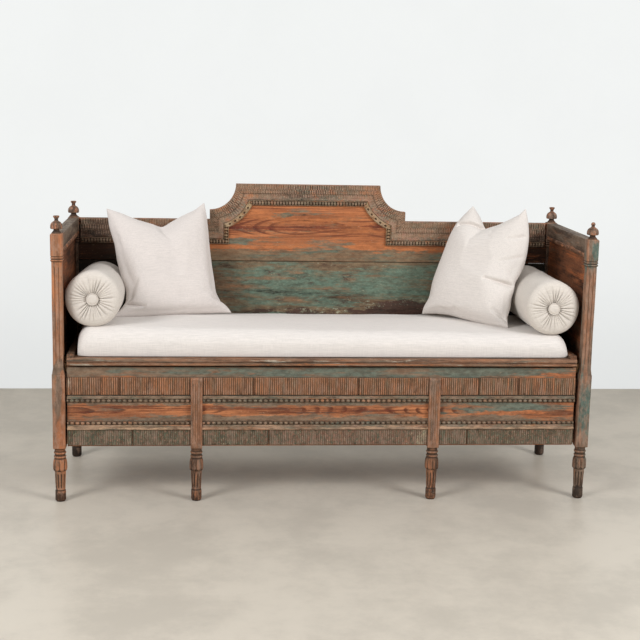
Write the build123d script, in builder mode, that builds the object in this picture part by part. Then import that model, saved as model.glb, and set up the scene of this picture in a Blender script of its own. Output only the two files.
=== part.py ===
"""Swedish pull-out bench bed in pine: a panelled sofa whose front slides forward on legs of its own.

The bench runs along X, its back is towards +Y and Z points up, in millimetres. The origin is on
the floor under the middle of the bench.
"""

from build123d import *
from math import atan, cos, degrees, floor, radians, sin, sqrt
import os

os.makedirs("parts", exist_ok=True)

# ---------------------------------------------------------------- gaps between pieces
glue_gap = 0.15  # glue line round a tenon, tongue or dowel
rest_gap = 0.3  # under a piece that only lies or slides in its place

# ---------------------------------------------------------------- end posts
post_pitch_x = 1840.0
post_pitch_y = 549.0
post_top = 937.0
cap_side = 40.0
cap_chamfer = 3.0
collar_side = 41.5
collar_bottom = 842.0
collar_height = 18.0
collar_taper = 25.0
shaft_side = 35.0
block_side = 43.0
block_top = 455.0
stop_height = 20.0
post_flute_pitch = 13.0
post_flute_depth = 2.0
post_flute_margin = 14.0

# ---------------------------------------------------------------- turned leg, from the floor up
glide_radius = 15.0
glide_height = 4.0
foot_radius = 18.5
foot_top = 41.0
ankle_radius = 16.5
calf_radius = 19.5
bell_bottom = 111.0
bell_lip = 8.0
bell_radius = 24.5
bell_waist = 140.0
bell_waist_radius = 20.0
bell_top = 156.0
neck_radius = 18.5
ring_radius = 21.5
ring_height = 9.0
ring_step = 5.0
leg_top = 192.0
leg_flutes = 10
leg_flute_depth = 1.6
leg_flute_share = 0.8

# ---------------------------------------------------------------- finials
finial_height = 59.0
finial_flare_radius = 16.5
finial_flare_height = 9.0
finial_neck_radius = 10.0
finial_neck_height = 5.5
finial_dome_radius = 20.5
finial_dome_height = 27.5
finial_shoulder_radius = 9.0
finial_throat_radius = 6.8
finial_throat_height = 4.0
finial_cup_radius = 10.5
finial_cup_rim = 3.5
finial_ball_radius = 7.5
dowel_radius = 7.0
dowel_length = 20.0

# ---------------------------------------------------------------- arms
arm_rail_width = 36.0
arm_rail_height = 64.0
arm_tenon_width = 12.0
arm_tenon_height = 34.0
tenon_length = 14.0
arm_bead_height = 16.0
arm_bead_thickness = 4.0
arm_panel_thickness = 14.0
groove_depth = 8.0
bottom_rail_height = 30.0
bottom_rail_outer = 16.5
bottom_rail_inner = 40.0
bottom_tenon_width = 14.0
bottom_tenon_height = 18.0

# ---------------------------------------------------------------- back planks and their carved border
back_thickness = 20.0
crest_half = 275.5
scroll_radius = 99.5
ear_rise = 36.5
crest_offset = -33.0
back_joint = 777.0
back_joint_gap = 3.0
seat_back_joint = 480.0
back_bottom = 200.0

# width of the border below the crest, round the scroll, beside the ear and below the level top
frieze_widths = (60.0, 61.0, 53.0, 73.0)
frieze_thickness = 9.0
frieze_groove_start = 0.42
frieze_groove_end = 0.52
frieze_groove_depth = 3.0
back_bead_width = 20.0
back_bead_thickness = 12.0
back_bead_chamfer = 5.0
border_end_gap = 7.0

# ---------------------------------------------------------------- pull-out front
pull_out_left_gap = 6.0
pull_out_right_gap = 12.0
apron_bottom = 198.0
apron_top = 479.0
apron_joint = 366.0
apron_thickness = 20.0
apron_setback = 6.0
middle_leg_pitch = 833.0
middle_leg_offset = -33.0
leg_tenon_width = 24.0
leg_tenon_thickness = 10.0
leg_tenon_length = 25.0
pilaster_width = 40.0
pilaster_thickness = 14.0
pilaster_top = 443.0
pilaster_chamfer = 5.0
pilaster_grooves = 4
pilaster_groove_pitch = 8.0
pilaster_groove_width = 3.0
pilaster_groove_depth = 1.5
pilaster_groove_margin = 16.0

# ---------------------------------------------------------------- mouldings across the front
trim_gap = 0.5
upper_band_bottom = 382.0
upper_band_top = 443.0
lower_band_bottom = 202.0
lower_band_top = 258.0
band_thickness = 8.0
band_joint_gap = 1.6
upper_band_joints = (-0.80, -0.28, 0.13, 0.61, 0.77)  # shares of the half length of the front
lower_band_joints = (-0.75, -0.22, 0.57)
flute_pitch = 7.4
flute_depth = 2.4
moulding_backing = 4.0
moulding_fillet = 8.0
bead_row_height = 12.0
bead_row_rise = 5.5
upper_moulding_bottom = 355.0
upper_fillet_height = 10.0
ledge_height = 9.0
ledge_projection = 13.0
lower_fillet_height = 8.0

# ---------------------------------------------------------------- bed bottom: two combs of slats
slat_pairs = 13
slat_width = 62.0
slat_gap = 3.0
slat_thickness = 14.0
slat_end_gap = 1.5
batten_height = 25.7
batten_width = 30.0
batten_block_height = 6.0
batten_end_gap = 15.0
batten_back_gap = 2.0
stretcher_width = 40.0
stretcher_height = 50.0
stretcher_gap = 4.5
stretcher_tenon_width = 24.0
stretcher_tenon_length = 20.0
apron_ledger_width = 24.0
apron_ledger_height = 30.0
back_ledger_width = 30.0
back_ledger_height = 30.0
box_side_thickness = 18.0
box_side_gap = 2.0
box_side_drop = 5.0

# ---------------------------------------------------------------- loose seat lid
lid_gap = 7.0
lid_thickness = 26.0
lid_end_inset = 2.0
lid_front_overhang = 16.5
lid_back_gap = 1.5
lid_edge_width = 22.0
lid_edge_groove_bottom = 8.0
lid_edge_groove_top = 15.0
lid_edge_groove_depth = 5.0
lid_edge_round = 3.0
lid_board_joint = -20.0
lid_cleat_width = 22.0
lid_cleat_height = 12.0
lid_cleat_inset = 8.0
lid_batten_width = 45.0
lid_batten_height = 18.0
lid_batten_share = 0.63  # where the battens stand, from the middle of the lid to its ends
lid_batten_margin = 30.0
lid_ledger_width = 25.0
lid_ledger_height = 30.0

# ---------------------------------------------------------------- soft furnishing
mattress_end_gap = 6.5
mattress_back_gap = 51.5
mattress_thickness = 98.0
mattress_bevel = 22.0
mattress_front_gap = 24.0
bolster_radius = 99.5
bolster_length = 470.0
bolster_bevel = 15.0
bolster_arm_gap = 0.6
bolster_back_gap = 39.0
button_radius = 21.0
button_thickness = 8.0
pillow_width = 432.0
pillow_height = 440.0
pillow_thickness = 118.0
pillow_edge = 12.0
pillow_bevel = 105.0
pillow_lean = 29.0
left_pillow_turn = 17.8
left_pillow_place = (-565.0, 75.0)
left_pillow_tucks = (80.0, 0.0)
left_pillow_draw = 33.0
right_pillow_turn = -42.0
right_pillow_place = (614.0, 10.0)
right_pillow_tucks = (0.0, 80.0)
right_pillow_draw = 80.0

# ---------------------------------------------------------------- shared helpers
def save(piece, node):
    """Label a finished piece and write it as its own node."""
    piece.part.label = node
    export_step(piece.part, f"parts/{node}.step")


def board(xs, ys, zs, mode=Mode.ADD):
    """Square-edged board between three pairs of limits, worked into the part being built."""
    with Locations(((xs[0] + xs[1]) / 2, (ys[0] + ys[1]) / 2, (zs[0] + zs[1]) / 2)):
        Box(abs(xs[1] - xs[0]), abs(ys[1] - ys[0]), abs(zs[1] - zs[0]), mode=mode)


def grown(limits, gap=glue_gap):
    """The same pair of limits with a gap added at both ends."""
    return (min(limits) - gap, max(limits) + gap)


def about(middle, width):
    """Pair of limits of the given width about a middle."""
    return (middle - width / 2, middle + width / 2)


def front_plane(x, y):
    """Upright plane facing the sitter, with its own x along the bench and its own y upwards."""
    return Plane(origin=(x, y, 0), x_dir=(1, 0, 0), z_dir=(0, -1, 0))


# ---------------------------------------------------------------- places that follow from the sizes
sides = (("left", -1), ("right", 1))
post_x = post_pitch_x / 2
front_y = -post_pitch_y / 2
back_y = post_pitch_y / 2
stop_top = block_top + stop_height
collar_top = collar_bottom + collar_height

arm_top = post_top - cap_chamfer
arm_rail_bottom = arm_top - arm_rail_height
arm_tenon_zs = (arm_rail_bottom + groove_depth, arm_rail_bottom + groove_depth + arm_tenon_height)
arm_face = post_x - arm_rail_width / 2
panel_face = post_x - arm_panel_thickness / 2
tongue_reach = shaft_side / 2 - groove_depth
bottom_rail_top = apron_bottom + bottom_rail_height
bottom_rail_middle = apron_bottom + bottom_rail_height / 2
bottom_tenon_zs = (bottom_rail_middle - bottom_tenon_height / 2, bottom_rail_middle + bottom_tenon_height / 2)
bottom_rail_face = post_x - bottom_rail_inner

back_face = back_y - back_thickness / 2
board_end = post_x - tongue_reach - glue_gap
level_top = arm_top
ear_half = crest_half + scroll_radius
crest_top = level_top + ear_rise + scroll_radius

apron_face = front_y - apron_setback
apron_back = apron_face + apron_thickness
post_face = post_x - block_side / 2
pull_out_ends = (pull_out_left_gap - post_face, post_face - pull_out_right_gap)
pull_out_middle = sum(pull_out_ends) / 2
pull_out_half = pull_out_ends[1] - pull_out_middle
middle_leg_xs = (middle_leg_offset - middle_leg_pitch / 2, middle_leg_offset + middle_leg_pitch / 2)
pilaster_clear = pilaster_width / 2 + trim_gap
bays = (
    (pull_out_ends[0], middle_leg_xs[0] - pilaster_clear),
    (middle_leg_xs[0] + pilaster_clear, middle_leg_xs[1] - pilaster_clear),
    (middle_leg_xs[1] + pilaster_clear, pull_out_ends[1]),
)

slat_level = bottom_rail_top + rest_gap + batten_height
fixed_slat_level = slat_level - rest_gap
stretcher_front = apron_back + apron_ledger_width + stretcher_gap
stretcher_ys = (stretcher_front, stretcher_front + stretcher_width)
back_ledger_face = back_face - back_ledger_width
batten_ys = (back_ledger_face - batten_back_gap - batten_width, back_ledger_face - batten_back_gap)
batten_end = panel_face - batten_end_gap
box_side_face = bottom_rail_face - box_side_gap

lid_bottom = apron_top + lid_gap
lid_top = lid_bottom + lid_thickness
lid_front = apron_face - lid_front_overhang
lid_back = back_face - lid_back_gap
lid_ends = grown(pull_out_ends, -lid_end_inset)
lid_ledger_zs = (lid_bottom - rest_gap - lid_ledger_height, lid_bottom - rest_gap)

mattress_bottom = lid_top + rest_gap
mattress_top = mattress_bottom + mattress_thickness
mattress_front = lid_front + mattress_front_gap
mattress_back = back_face - mattress_back_gap
mattress_half = lid_ends[1] - lid_cleat_width - mattress_end_gap
bolster_x = arm_face - arm_bead_thickness - bolster_arm_gap - bolster_radius
bolster_z = mattress_top + rest_gap + bolster_radius
bolster_back = back_face - bolster_back_gap


# ---------------------------------------------------------------- turned legs
def ring(bottom):
    """Half section of one turned ring of the leg, a band between two chamfers, from its foot up."""
    return (
        (neck_radius, bottom),
        (ring_radius, bottom + ring_height / 3),
        (ring_radius, bottom + 2 * ring_height / 3),
        (neck_radius, bottom + ring_height),
    )


def turned_leg(x, y):
    """Turned leg about the upright axis at x, y: glide, foot, fluted shaft, bell and two rings."""
    with BuildSketch(front_plane(x, y)) as profile:
        with BuildLine():
            Polyline(
                (0, 0),
                (glide_radius, 0),
                (glide_radius, glide_height),
                (foot_radius, glide_height),
                (foot_radius, foot_top - (foot_radius - ankle_radius)),
                (ankle_radius, foot_top),
                (calf_radius, bell_bottom),
                (bell_radius, bell_bottom),
                (bell_radius, bell_bottom + bell_lip),
                (bell_waist_radius, bell_waist),
                *ring(bell_top),
                *ring(bell_top + ring_height + ring_step),
                (neck_radius, leg_top),
                (0, leg_top),
                close=True,
            )
        make_face()
    revolve(profile.sketch, axis=Axis((x, y, 0), (0, 0, 1)))
    # V flutes that follow the taper of the shaft
    flute_length = bell_bottom - foot_top
    taper = degrees(atan((calf_radius - ankle_radius) / flute_length))
    with Locations((x, y, foot_top + flute_length / 2)):
        with PolarLocations((calf_radius + ankle_radius) / 2, leg_flutes):
            Box(
                sqrt(2) * leg_flute_depth,
                sqrt(2) * leg_flute_depth,
                leg_flute_share * flute_length,
                rotation=(0, taper, 45),
                mode=Mode.SUBTRACT,
            )


# ---------------------------------------------------------------- end posts
def end_post(side, back):
    """Corner post: turned leg, square block, fluted shaft, collar and cap, with its mortises."""
    x = side * post_x
    y = back_y if back else front_y
    inward = -1 if back else 1
    with BuildPart() as post:
        turned_leg(x, y)
        board(about(x, block_side), about(y, block_side), (leg_top, block_top))
        with BuildSketch(Plane.XY.offset(block_top)):
            with Locations((x, y)):
                Rectangle(block_side, block_side)
        extrude(amount=stop_height, taper=degrees(atan((block_side - shaft_side) / 2 / stop_height)))
        board(about(x, shaft_side), about(y, shaft_side), (stop_top, collar_top))
        for bead_middle in (collar_bottom + collar_height / 4, collar_top - collar_height / 4):
            with BuildSketch(Plane.XY.offset(bead_middle)):
                with Locations((x, y)):
                    Rectangle(collar_side, collar_side)
            extrude(amount=collar_height / 4, both=True, taper=collar_taper)
        board(about(x, cap_side), about(y, cap_side), (collar_top, post_top))
        chamfer(post.faces().sort_by(Axis.Z)[-1].edges(), cap_chamfer)
        # two stopped flutes up every face of the shaft, a reed standing between them
        flute_length = collar_bottom - stop_top - 2 * post_flute_margin
        with Locations((x, y, (collar_bottom + stop_top) / 2)):
            with PolarLocations(shaft_side / 2, 4):
                with Locations((0, -post_flute_pitch / 2, 0), (0, post_flute_pitch / 2, 0)):
                    Box(
                        sqrt(2) * post_flute_depth,
                        sqrt(2) * post_flute_depth,
                        flute_length,
                        rotation=(0, 0, 45),
                        mode=Mode.SUBTRACT,
                    )
        # hole for the finial's dowel
        with Locations((x, y, post_top - (dowel_length + glue_gap) / 2)):
            Cylinder(dowel_radius + glue_gap, dowel_length + glue_gap, mode=Mode.SUBTRACT)
        # mortises of the two arm rails, with the groove of the arm panel between them
        rail_end = y + inward * cap_side / 2
        board(
            grown(about(x, arm_tenon_width)),
            grown((rail_end, rail_end - inward * tenon_length)),
            grown(arm_tenon_zs),
            mode=Mode.SUBTRACT,
        )
        board(
            grown(about(x, arm_panel_thickness)),
            (y + inward * tongue_reach, y + inward * block_side),
            (bottom_rail_top, arm_rail_bottom),
            mode=Mode.SUBTRACT,
        )
        rail_end = y + inward * block_side / 2
        board(
            grown(about(x, bottom_tenon_width)),
            grown((rail_end, rail_end - inward * tenon_length)),
            grown(bottom_tenon_zs),
            mode=Mode.SUBTRACT,
        )
        if back:
            # groove for the ends of the back planks
            board(
                (x - side * tongue_reach, x - side * block_side),
                grown((back_face, back_face + back_thickness)),
                grown((back_bottom, level_top)),
                mode=Mode.SUBTRACT,
            )
    return post


for side_name, side in sides:
    save(end_post(side, back=False), f"front_{side_name}_post")
    save(end_post(side, back=True), f"back_{side_name}_post")


# ---------------------------------------------------------------- finials
def finial(x, y, ball_tip):
    """Turned finial: flared base, bell turned in three cuts over a flat underside, and a cup or a ball."""
    neck_z = post_top + finial_flare_height
    dome_z = neck_z + finial_neck_height
    shoulder_z = dome_z + finial_dome_height
    throat_z = shoulder_z + finial_throat_height
    tip_z = post_top + finial_height
    with BuildSketch(front_plane(x, y)) as profile:
        with BuildLine():
            Polyline(
                (0, tip_z),
                (0, post_top - dowel_length),
                (dowel_radius, post_top - dowel_length),
                (dowel_radius, post_top),
                (finial_flare_radius, post_top),
                (finial_neck_radius, neck_z),
                (finial_neck_radius, dome_z),
                (finial_dome_radius, dome_z),
                (0.95 * finial_dome_radius, dome_z + 0.35 * finial_dome_height),
                (0.78 * finial_dome_radius, dome_z + 0.7 * finial_dome_height),
                (finial_shoulder_radius, shoulder_z),
            )
            if ball_tip:
                ball_neck = 0.6 * finial_ball_radius
                ball_middle = tip_z - finial_ball_radius
                ball_low = ball_middle - sqrt(finial_ball_radius**2 - ball_neck**2)
                ball_high = 2 * ball_middle - ball_low
                Polyline(
                    (finial_shoulder_radius, shoulder_z),
                    (ball_neck, ball_low),
                    (finial_ball_radius, ball_middle - ball_neck / 2),
                    (finial_ball_radius, ball_middle + ball_neck / 2),
                    (ball_neck, ball_high),
                    (0, tip_z),
                )
            else:
                Polyline(
                    (finial_shoulder_radius, shoulder_z),
                    (finial_throat_radius, throat_z),
                    (finial_cup_radius, tip_z - finial_cup_rim),
                    (finial_cup_radius, tip_z),
                    (0, tip_z),
                )
        make_face()
    revolve(profile.sketch, axis=Axis((x, y, 0), (0, 0, 1)))


with BuildPart() as finials:
    for y in (front_y, back_y):
        for side_name, side in sides:
            finial(side * post_x, y, ball_tip=side > 0 and y == front_y)
save(finials, "finials")


# ---------------------------------------------------------------- arms
def arm_rail(side):
    """Flat-topped arm rail, tenoned into both posts and grooved below for the panel."""
    x = side * post_x
    ends = (front_y + cap_side / 2, back_y - cap_side / 2)
    with BuildPart() as rail:
        board(about(x, arm_rail_width), ends, (arm_rail_bottom, arm_top))
        board(about(x, arm_tenon_width), grown(ends, tenon_length), arm_tenon_zs)
        board(
            grown(about(x, arm_panel_thickness)),
            ends,
            (arm_rail_bottom, arm_rail_bottom + groove_depth),
            mode=Mode.SUBTRACT,
        )
    return rail


def arm_panel(side):
    """Thin panel held in grooves of the two posts and the two rails."""
    xs = about(side * post_x, arm_panel_thickness)
    with BuildPart() as panel:
        board(xs, grown((front_y, back_y), -tongue_reach - glue_gap), (bottom_rail_top, arm_rail_bottom))
        board(
            xs,
            grown((front_y, back_y), -cap_side / 2 - glue_gap),
            (arm_rail_bottom, arm_rail_bottom + groove_depth - glue_gap),
        )
        board(
            xs,
            grown((front_y, back_y), -block_side / 2 - glue_gap),
            (bottom_rail_top - groove_depth + glue_gap, bottom_rail_top),
        )
    return panel


def arm_bottom_rail(side):
    """Wide low rail under the arm panel; the sliding batten runs on its inner half."""
    x = side * post_x
    ends = (front_y + block_side / 2, back_y - block_side / 2)
    with BuildPart() as rail:
        board(
            (x + side * bottom_rail_outer, side * bottom_rail_face),
            ends,
            (apron_bottom, bottom_rail_top),
        )
        board(about(x, bottom_tenon_width), grown(ends, tenon_length), bottom_tenon_zs)
        board(
            grown(about(x, arm_panel_thickness)),
            ends,
            (bottom_rail_top - groove_depth, bottom_rail_top),
            mode=Mode.SUBTRACT,
        )
        board(
            grown((side * bottom_rail_face, side * (bottom_rail_face + stretcher_tenon_length))),
            grown(about(sum(stretcher_ys) / 2, stretcher_tenon_width)),
            grown(bottom_tenon_zs),
            mode=Mode.SUBTRACT,
        )
    return rail


for side_name, side in sides:
    save(arm_rail(side), f"{side_name}_arm_rail")
    save(arm_panel(side), f"{side_name}_arm_panel")
    save(arm_bottom_rail(side), f"{side_name}_arm_bottom_rail")

# half-round bead planted along the lower inner edge of each arm rail
with BuildPart() as arm_beads:
    for side_name, side in sides:
        face_x = side * arm_face
        with BuildSketch(Plane.XZ.offset(-(front_y + cap_side / 2))):
            with BuildLine():
                Line((face_x, arm_rail_bottom), (face_x, arm_rail_bottom + arm_bead_height))
                ThreePointArc(
                    (face_x, arm_rail_bottom + arm_bead_height),
                    (face_x - side * arm_bead_thickness, arm_rail_bottom + arm_bead_height / 2),
                    (face_x, arm_rail_bottom),
                )
            make_face()
        extrude(amount=-(post_pitch_y - cap_side))
save(arm_beads, "arm_beads")


# ---------------------------------------------------------------- outline of the back
# Every corner takes the four insets of a line: below the crest, round the scroll, beside the ear
# and below the level top. The two scrolls are quarter rounds hollowed about the crest's missing corners.
def crest_corner(side, insets):
    """Where the straight crest meets the scroll."""
    scroll = scroll_radius + insets[1]
    return (side * (ear_half - sqrt(scroll**2 - insets[0] ** 2)), crest_top - insets[0])


def scroll_middle(side, insets):
    """Middle of the hollow scroll."""
    reach = (scroll_radius + insets[1]) * cos(radians(45))
    return (side * (ear_half - reach), crest_top - reach)


def ear_corner(side, insets):
    """Where the scroll meets the upright edge of the ear."""
    scroll = scroll_radius + insets[1]
    return (side * (ear_half - insets[2]), crest_top - sqrt(scroll**2 - insets[2] ** 2))


def step_corner(side, insets):
    """Foot of the ear, where the outline turns into the level top of the back."""
    return (side * (ear_half - insets[2]), level_top - insets[3])


def frieze_insets(share):
    """Insets of a line that lies the given share of the way across the border."""
    return tuple(share * width for width in frieze_widths)


outline = frieze_insets(0)
frieze_edge = frieze_insets(1)
bead_edge = tuple(width + back_bead_width for width in frieze_widths)

with BuildPart() as back_upper_board:
    with BuildSketch(front_plane(crest_offset, back_face + back_thickness)):
        with BuildLine():
            Line(crest_corner(-1, outline), crest_corner(1, outline))
            for side_name, side in sides:
                ThreePointArc(crest_corner(side, outline), scroll_middle(side, outline), ear_corner(side, outline))
            Polyline(
                ear_corner(1, outline),
                step_corner(1, outline),
                (board_end - crest_offset, level_top),
                (board_end - crest_offset, back_joint),
                (-board_end - crest_offset, back_joint),
                (-board_end - crest_offset, level_top),
                step_corner(-1, outline),
                ear_corner(-1, outline),
            )
        make_face()
    extrude(amount=back_thickness)
save(back_upper_board, "back_upper_board")

with BuildPart() as back_lower_board:
    board(
        (-board_end, board_end),
        (back_face, back_face + back_thickness),
        (seat_back_joint, back_joint - back_joint_gap),
    )
save(back_lower_board, "back_lower_board")

with BuildPart() as back_box_board:
    board((-board_end, board_end), (back_face, back_face + back_thickness), (back_bottom, seat_back_joint))
save(back_box_board, "back_box_board")


# ---------------------------------------------------------------- carved border of the back
def crest_strip(side, outer, inner):
    """Length of border along the crest, mitred at both ends."""
    with BuildLine() as rim:
        Polyline(
            crest_corner(-1, outer),
            crest_corner(1, outer),
            crest_corner(1, inner),
            crest_corner(-1, inner),
            close=True,
        )
    make_face(rim.edges())


def scroll_strip(side, outer, inner):
    """Length of border round one scroll and down its ear, mitred at both ends."""
    with BuildLine() as rim:
        ThreePointArc(crest_corner(side, outer), scroll_middle(side, outer), ear_corner(side, outer))
        Polyline(
            ear_corner(side, outer),
            step_corner(side, outer),
            step_corner(side, inner),
            ear_corner(side, inner),
        )
        ThreePointArc(ear_corner(side, inner), scroll_middle(side, inner), crest_corner(side, inner))
        Line(crest_corner(side, inner), crest_corner(side, outer))
    make_face(rim.edges())


def level_strip(side, outer, inner):
    """Length of border from the foot of one ear out to the post."""
    border_end = side * (post_x - cap_side / 2 - border_end_gap) - crest_offset
    with BuildLine() as rim:
        Polyline(
            step_corner(side, outer),
            (border_end, level_top - outer[3]),
            (border_end, level_top - inner[3]),
            step_corner(side, inner),
            close=True,
        )
    make_face(rim.edges())


border_lengths = (
    ("crest", crest_strip, 1),
    ("left_scroll", scroll_strip, -1),
    ("right_scroll", scroll_strip, 1),
    ("left_level", level_strip, -1),
    ("right_level", level_strip, 1),
)

for border_name, draw_strip, side in border_lengths:
    with BuildPart() as frieze:
        with BuildSketch(front_plane(crest_offset, back_face)):
            draw_strip(side, outline, frieze_edge)
        extrude(amount=frieze_thickness)
        with BuildSketch(front_plane(crest_offset, back_face - frieze_thickness)):
            draw_strip(side, frieze_insets(frieze_groove_start), frieze_insets(frieze_groove_end))
        extrude(amount=-frieze_groove_depth, mode=Mode.SUBTRACT)
    save(frieze, f"{border_name}_frieze")

    with BuildPart() as back_bead:
        with BuildSketch(front_plane(crest_offset, back_face)):
            draw_strip(side, frieze_edge, bead_edge)
        extrude(amount=back_bead_thickness)
        face_edges = back_bead.faces().sort_by(Axis.Y)[0].edges()
        along = Axis.Z if draw_strip is scroll_strip else Axis.X
        chamfer(face_edges.filter_by(along) + face_edges.filter_by(GeomType.CIRCLE), back_bead_chamfer)
    save(back_bead, f"{border_name}_bead")


# ---------------------------------------------------------------- pull-out front: boards and legs
for board_name, board_zs in (
    ("apron_upper_board", (apron_joint, apron_top)),
    ("apron_lower_board", (apron_bottom, apron_joint)),
):
    with BuildPart() as apron_board:
        board(pull_out_ends, (apron_face, apron_back), board_zs)
        if board_zs[0] == apron_bottom:
            for x in middle_leg_xs:
                board(
                    grown(about(x, leg_tenon_width)),
                    grown(about((apron_face + apron_back) / 2, leg_tenon_thickness)),
                    (apron_bottom, apron_bottom + leg_tenon_length + glue_gap),
                    mode=Mode.SUBTRACT,
                )
    save(apron_board, board_name)


def middle_leg(x):
    """Leg of the pull-out front: turned leg, tenon into the apron and a grooved pilaster before it."""
    pilaster_face = apron_face - pilaster_thickness
    with BuildPart() as leg:
        turned_leg(x, front_y)
        board(about(x, pilaster_width), (pilaster_face, -pilaster_face + 2 * front_y), (leg_top, apron_bottom))
        board(
            about(x, leg_tenon_width),
            about((apron_face + apron_back) / 2, leg_tenon_thickness),
            (apron_bottom, apron_bottom + leg_tenon_length),
        )
        board(about(x, pilaster_width), (pilaster_face, apron_face), (leg_top, pilaster_top))
        top_edges = leg.faces().sort_by(Axis.Z)[-1].edges().filter_by(Axis.X)
        chamfer(top_edges.sort_by(Axis.Y)[0], pilaster_chamfer)
        # V grooves up the face
        with BuildSketch(front_plane(x, pilaster_face)):
            middle_z = (apron_bottom + pilaster_top) / 2
            groove_height = pilaster_top - apron_bottom - 2 * pilaster_groove_margin
            with Locations((0, middle_z)):
                with GridLocations(pilaster_groove_pitch, 1, pilaster_grooves, 1):
                    Rectangle(pilaster_groove_width, groove_height)
        extrude(
            amount=-pilaster_groove_depth,
            taper=degrees(atan(pilaster_groove_width / 2 / pilaster_groove_depth)) - 1,
            mode=Mode.SUBTRACT,
        )
    return leg


for (side_name, side), leg_x in zip(sides, middle_leg_xs):
    save(middle_leg(leg_x), f"{side_name}_middle_leg")


# ---------------------------------------------------------------- fluted bands
def fluted_length(start, end, zs):
    """One length of band between start and end, its face cut ridge to ridge with upright V flutes."""
    band_face = apron_face - band_thickness
    flutes = floor((end - start) / flute_pitch)
    first_ridge = (start + end - flutes * flute_pitch) / 2
    points = [(start, apron_face), (start, band_face)]
    for flute in range(flutes):
        ridge = first_ridge + flute * flute_pitch
        points.append((ridge, band_face))
        points.append((ridge + flute_pitch / 2, band_face + flute_depth))
    points += [(end - (first_ridge - start), band_face), (end, band_face), (end, apron_face)]
    with BuildSketch(Plane.XY.offset(zs[0])) as profile:
        with BuildLine():
            Polyline(*points, close=True)
        make_face()
    extrude(profile.sketch, amount=zs[1] - zs[0])


def fluted_band(zs, joints):
    """Fluted band across the three bays, made up of lengths that meet at the given joints."""
    with BuildPart() as band:
        for bay in bays:
            places = [pull_out_middle + joint * pull_out_half for joint in joints]
            cuts = [place for place in places if bay[0] < place < bay[1]]
            starts = [bay[0]] + [cut + band_joint_gap / 2 for cut in cuts]
            ends = [cut - band_joint_gap / 2 for cut in cuts] + [bay[1]]
            for start, end in zip(starts, ends):
                fluted_length(start, end, zs)
    return band


save(fluted_band((upper_band_bottom, upper_band_top), upper_band_joints), "upper_fluted_band")
save(fluted_band((lower_band_bottom, lower_band_top), lower_band_joints), "lower_fluted_band")


# ---------------------------------------------------------------- bead and ledge mouldings
def moulding_point(projection, z):
    """Point of a moulding's profile, given how far it stands out from the apron."""
    return (apron_face - projection, z)


# bead row under a fillet, with a hollow below the upper band
bead_middle = upper_moulding_bottom + bead_row_height / 2
bead_top = upper_moulding_bottom + bead_row_height
fillet_top = bead_top + upper_fillet_height
with BuildPart() as upper_moulding:
    for bay in bays:
        with BuildSketch(Plane.YZ.offset(bay[0])):
            with BuildLine():
                ThreePointArc(
                    moulding_point(moulding_backing, upper_moulding_bottom),
                    moulding_point(moulding_backing + bead_row_rise, bead_middle),
                    moulding_point(moulding_backing, bead_top),
                )
                Polyline(
                    moulding_point(moulding_backing, bead_top),
                    moulding_point(moulding_fillet, bead_top),
                    moulding_point(moulding_fillet, fillet_top),
                    moulding_point(moulding_backing, fillet_top),
                    moulding_point(moulding_backing, upper_band_bottom),
                    moulding_point(0, upper_band_bottom),
                    moulding_point(0, upper_moulding_bottom),
                    moulding_point(moulding_backing, upper_moulding_bottom),
                )
            make_face()
        extrude(amount=bay[1] - bay[0])
save(upper_moulding, "upper_bead_moulding")

# ledge standing out over the lower band, then a fillet and a bead row above it
ledge_top = lower_band_top + ledge_height
lower_fillet_top = ledge_top + lower_fillet_height
lower_moulding_top = lower_fillet_top + bead_row_height
with BuildPart() as lower_moulding:
    for bay in bays:
        with BuildSketch(Plane.YZ.offset(bay[0])):
            with BuildLine():
                Polyline(
                    moulding_point(moulding_backing, lower_moulding_top),
                    moulding_point(0, lower_moulding_top),
                    moulding_point(0, lower_band_top),
                    moulding_point(ledge_projection, lower_band_top),
                    moulding_point(ledge_projection, ledge_top),
                    moulding_point(moulding_fillet, ledge_top),
                    moulding_point(moulding_fillet, lower_fillet_top),
                    moulding_point(moulding_backing, lower_fillet_top),
                )
                ThreePointArc(
                    moulding_point(moulding_backing, lower_fillet_top),
                    moulding_point(moulding_backing + bead_row_rise, lower_fillet_top + bead_row_height / 2),
                    moulding_point(moulding_backing, lower_moulding_top),
                )
            make_face()
        extrude(amount=bay[1] - bay[0])
save(lower_moulding, "lower_ledge_moulding")


# ---------------------------------------------------------------- bed bottom
slat_pitch = slat_width + slat_gap
slat_xs = [(slat - slat_pairs + 0.5) * slat_pitch for slat in range(2 * slat_pairs)]
fixed_xs = slat_xs[0::2]
moving_xs = slat_xs[1::2]

with BuildPart() as fixed_slats:
    for x in fixed_xs:
        board(
            about(x, slat_width),
            (stretcher_ys[0], back_face - slat_end_gap),
            (fixed_slat_level, fixed_slat_level + slat_thickness),
        )
save(fixed_slats, "fixed_slats")

with BuildPart() as moving_slats:
    for x in moving_xs:
        board(about(x, slat_width), (apron_back, batten_ys[1]), (slat_level, slat_level + slat_thickness))
save(moving_slats, "moving_slats")

with BuildPart() as front_stretcher:
    board(
        (-bottom_rail_face, bottom_rail_face),
        stretcher_ys,
        (fixed_slat_level - stretcher_height, fixed_slat_level),
    )
    board(
        grown((-bottom_rail_face, bottom_rail_face), stretcher_tenon_length),
        about(sum(stretcher_ys) / 2, stretcher_tenon_width),
        bottom_tenon_zs,
    )
save(front_stretcher, "front_stretcher")

with BuildPart() as back_slat_ledger:
    board(
        (-box_side_face, box_side_face),
        (back_ledger_face, back_face),
        (fixed_slat_level - back_ledger_height, fixed_slat_level),
    )
save(back_slat_ledger, "back_slat_ledger")

# batten under the moving slats; they stand on blocks, so that it passes below the fixed ones
with BuildPart() as sliding_batten:
    board(
        (-batten_end, batten_end),
        batten_ys,
        (slat_level - batten_height, slat_level - batten_block_height),
    )
save(sliding_batten, "sliding_batten")

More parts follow.
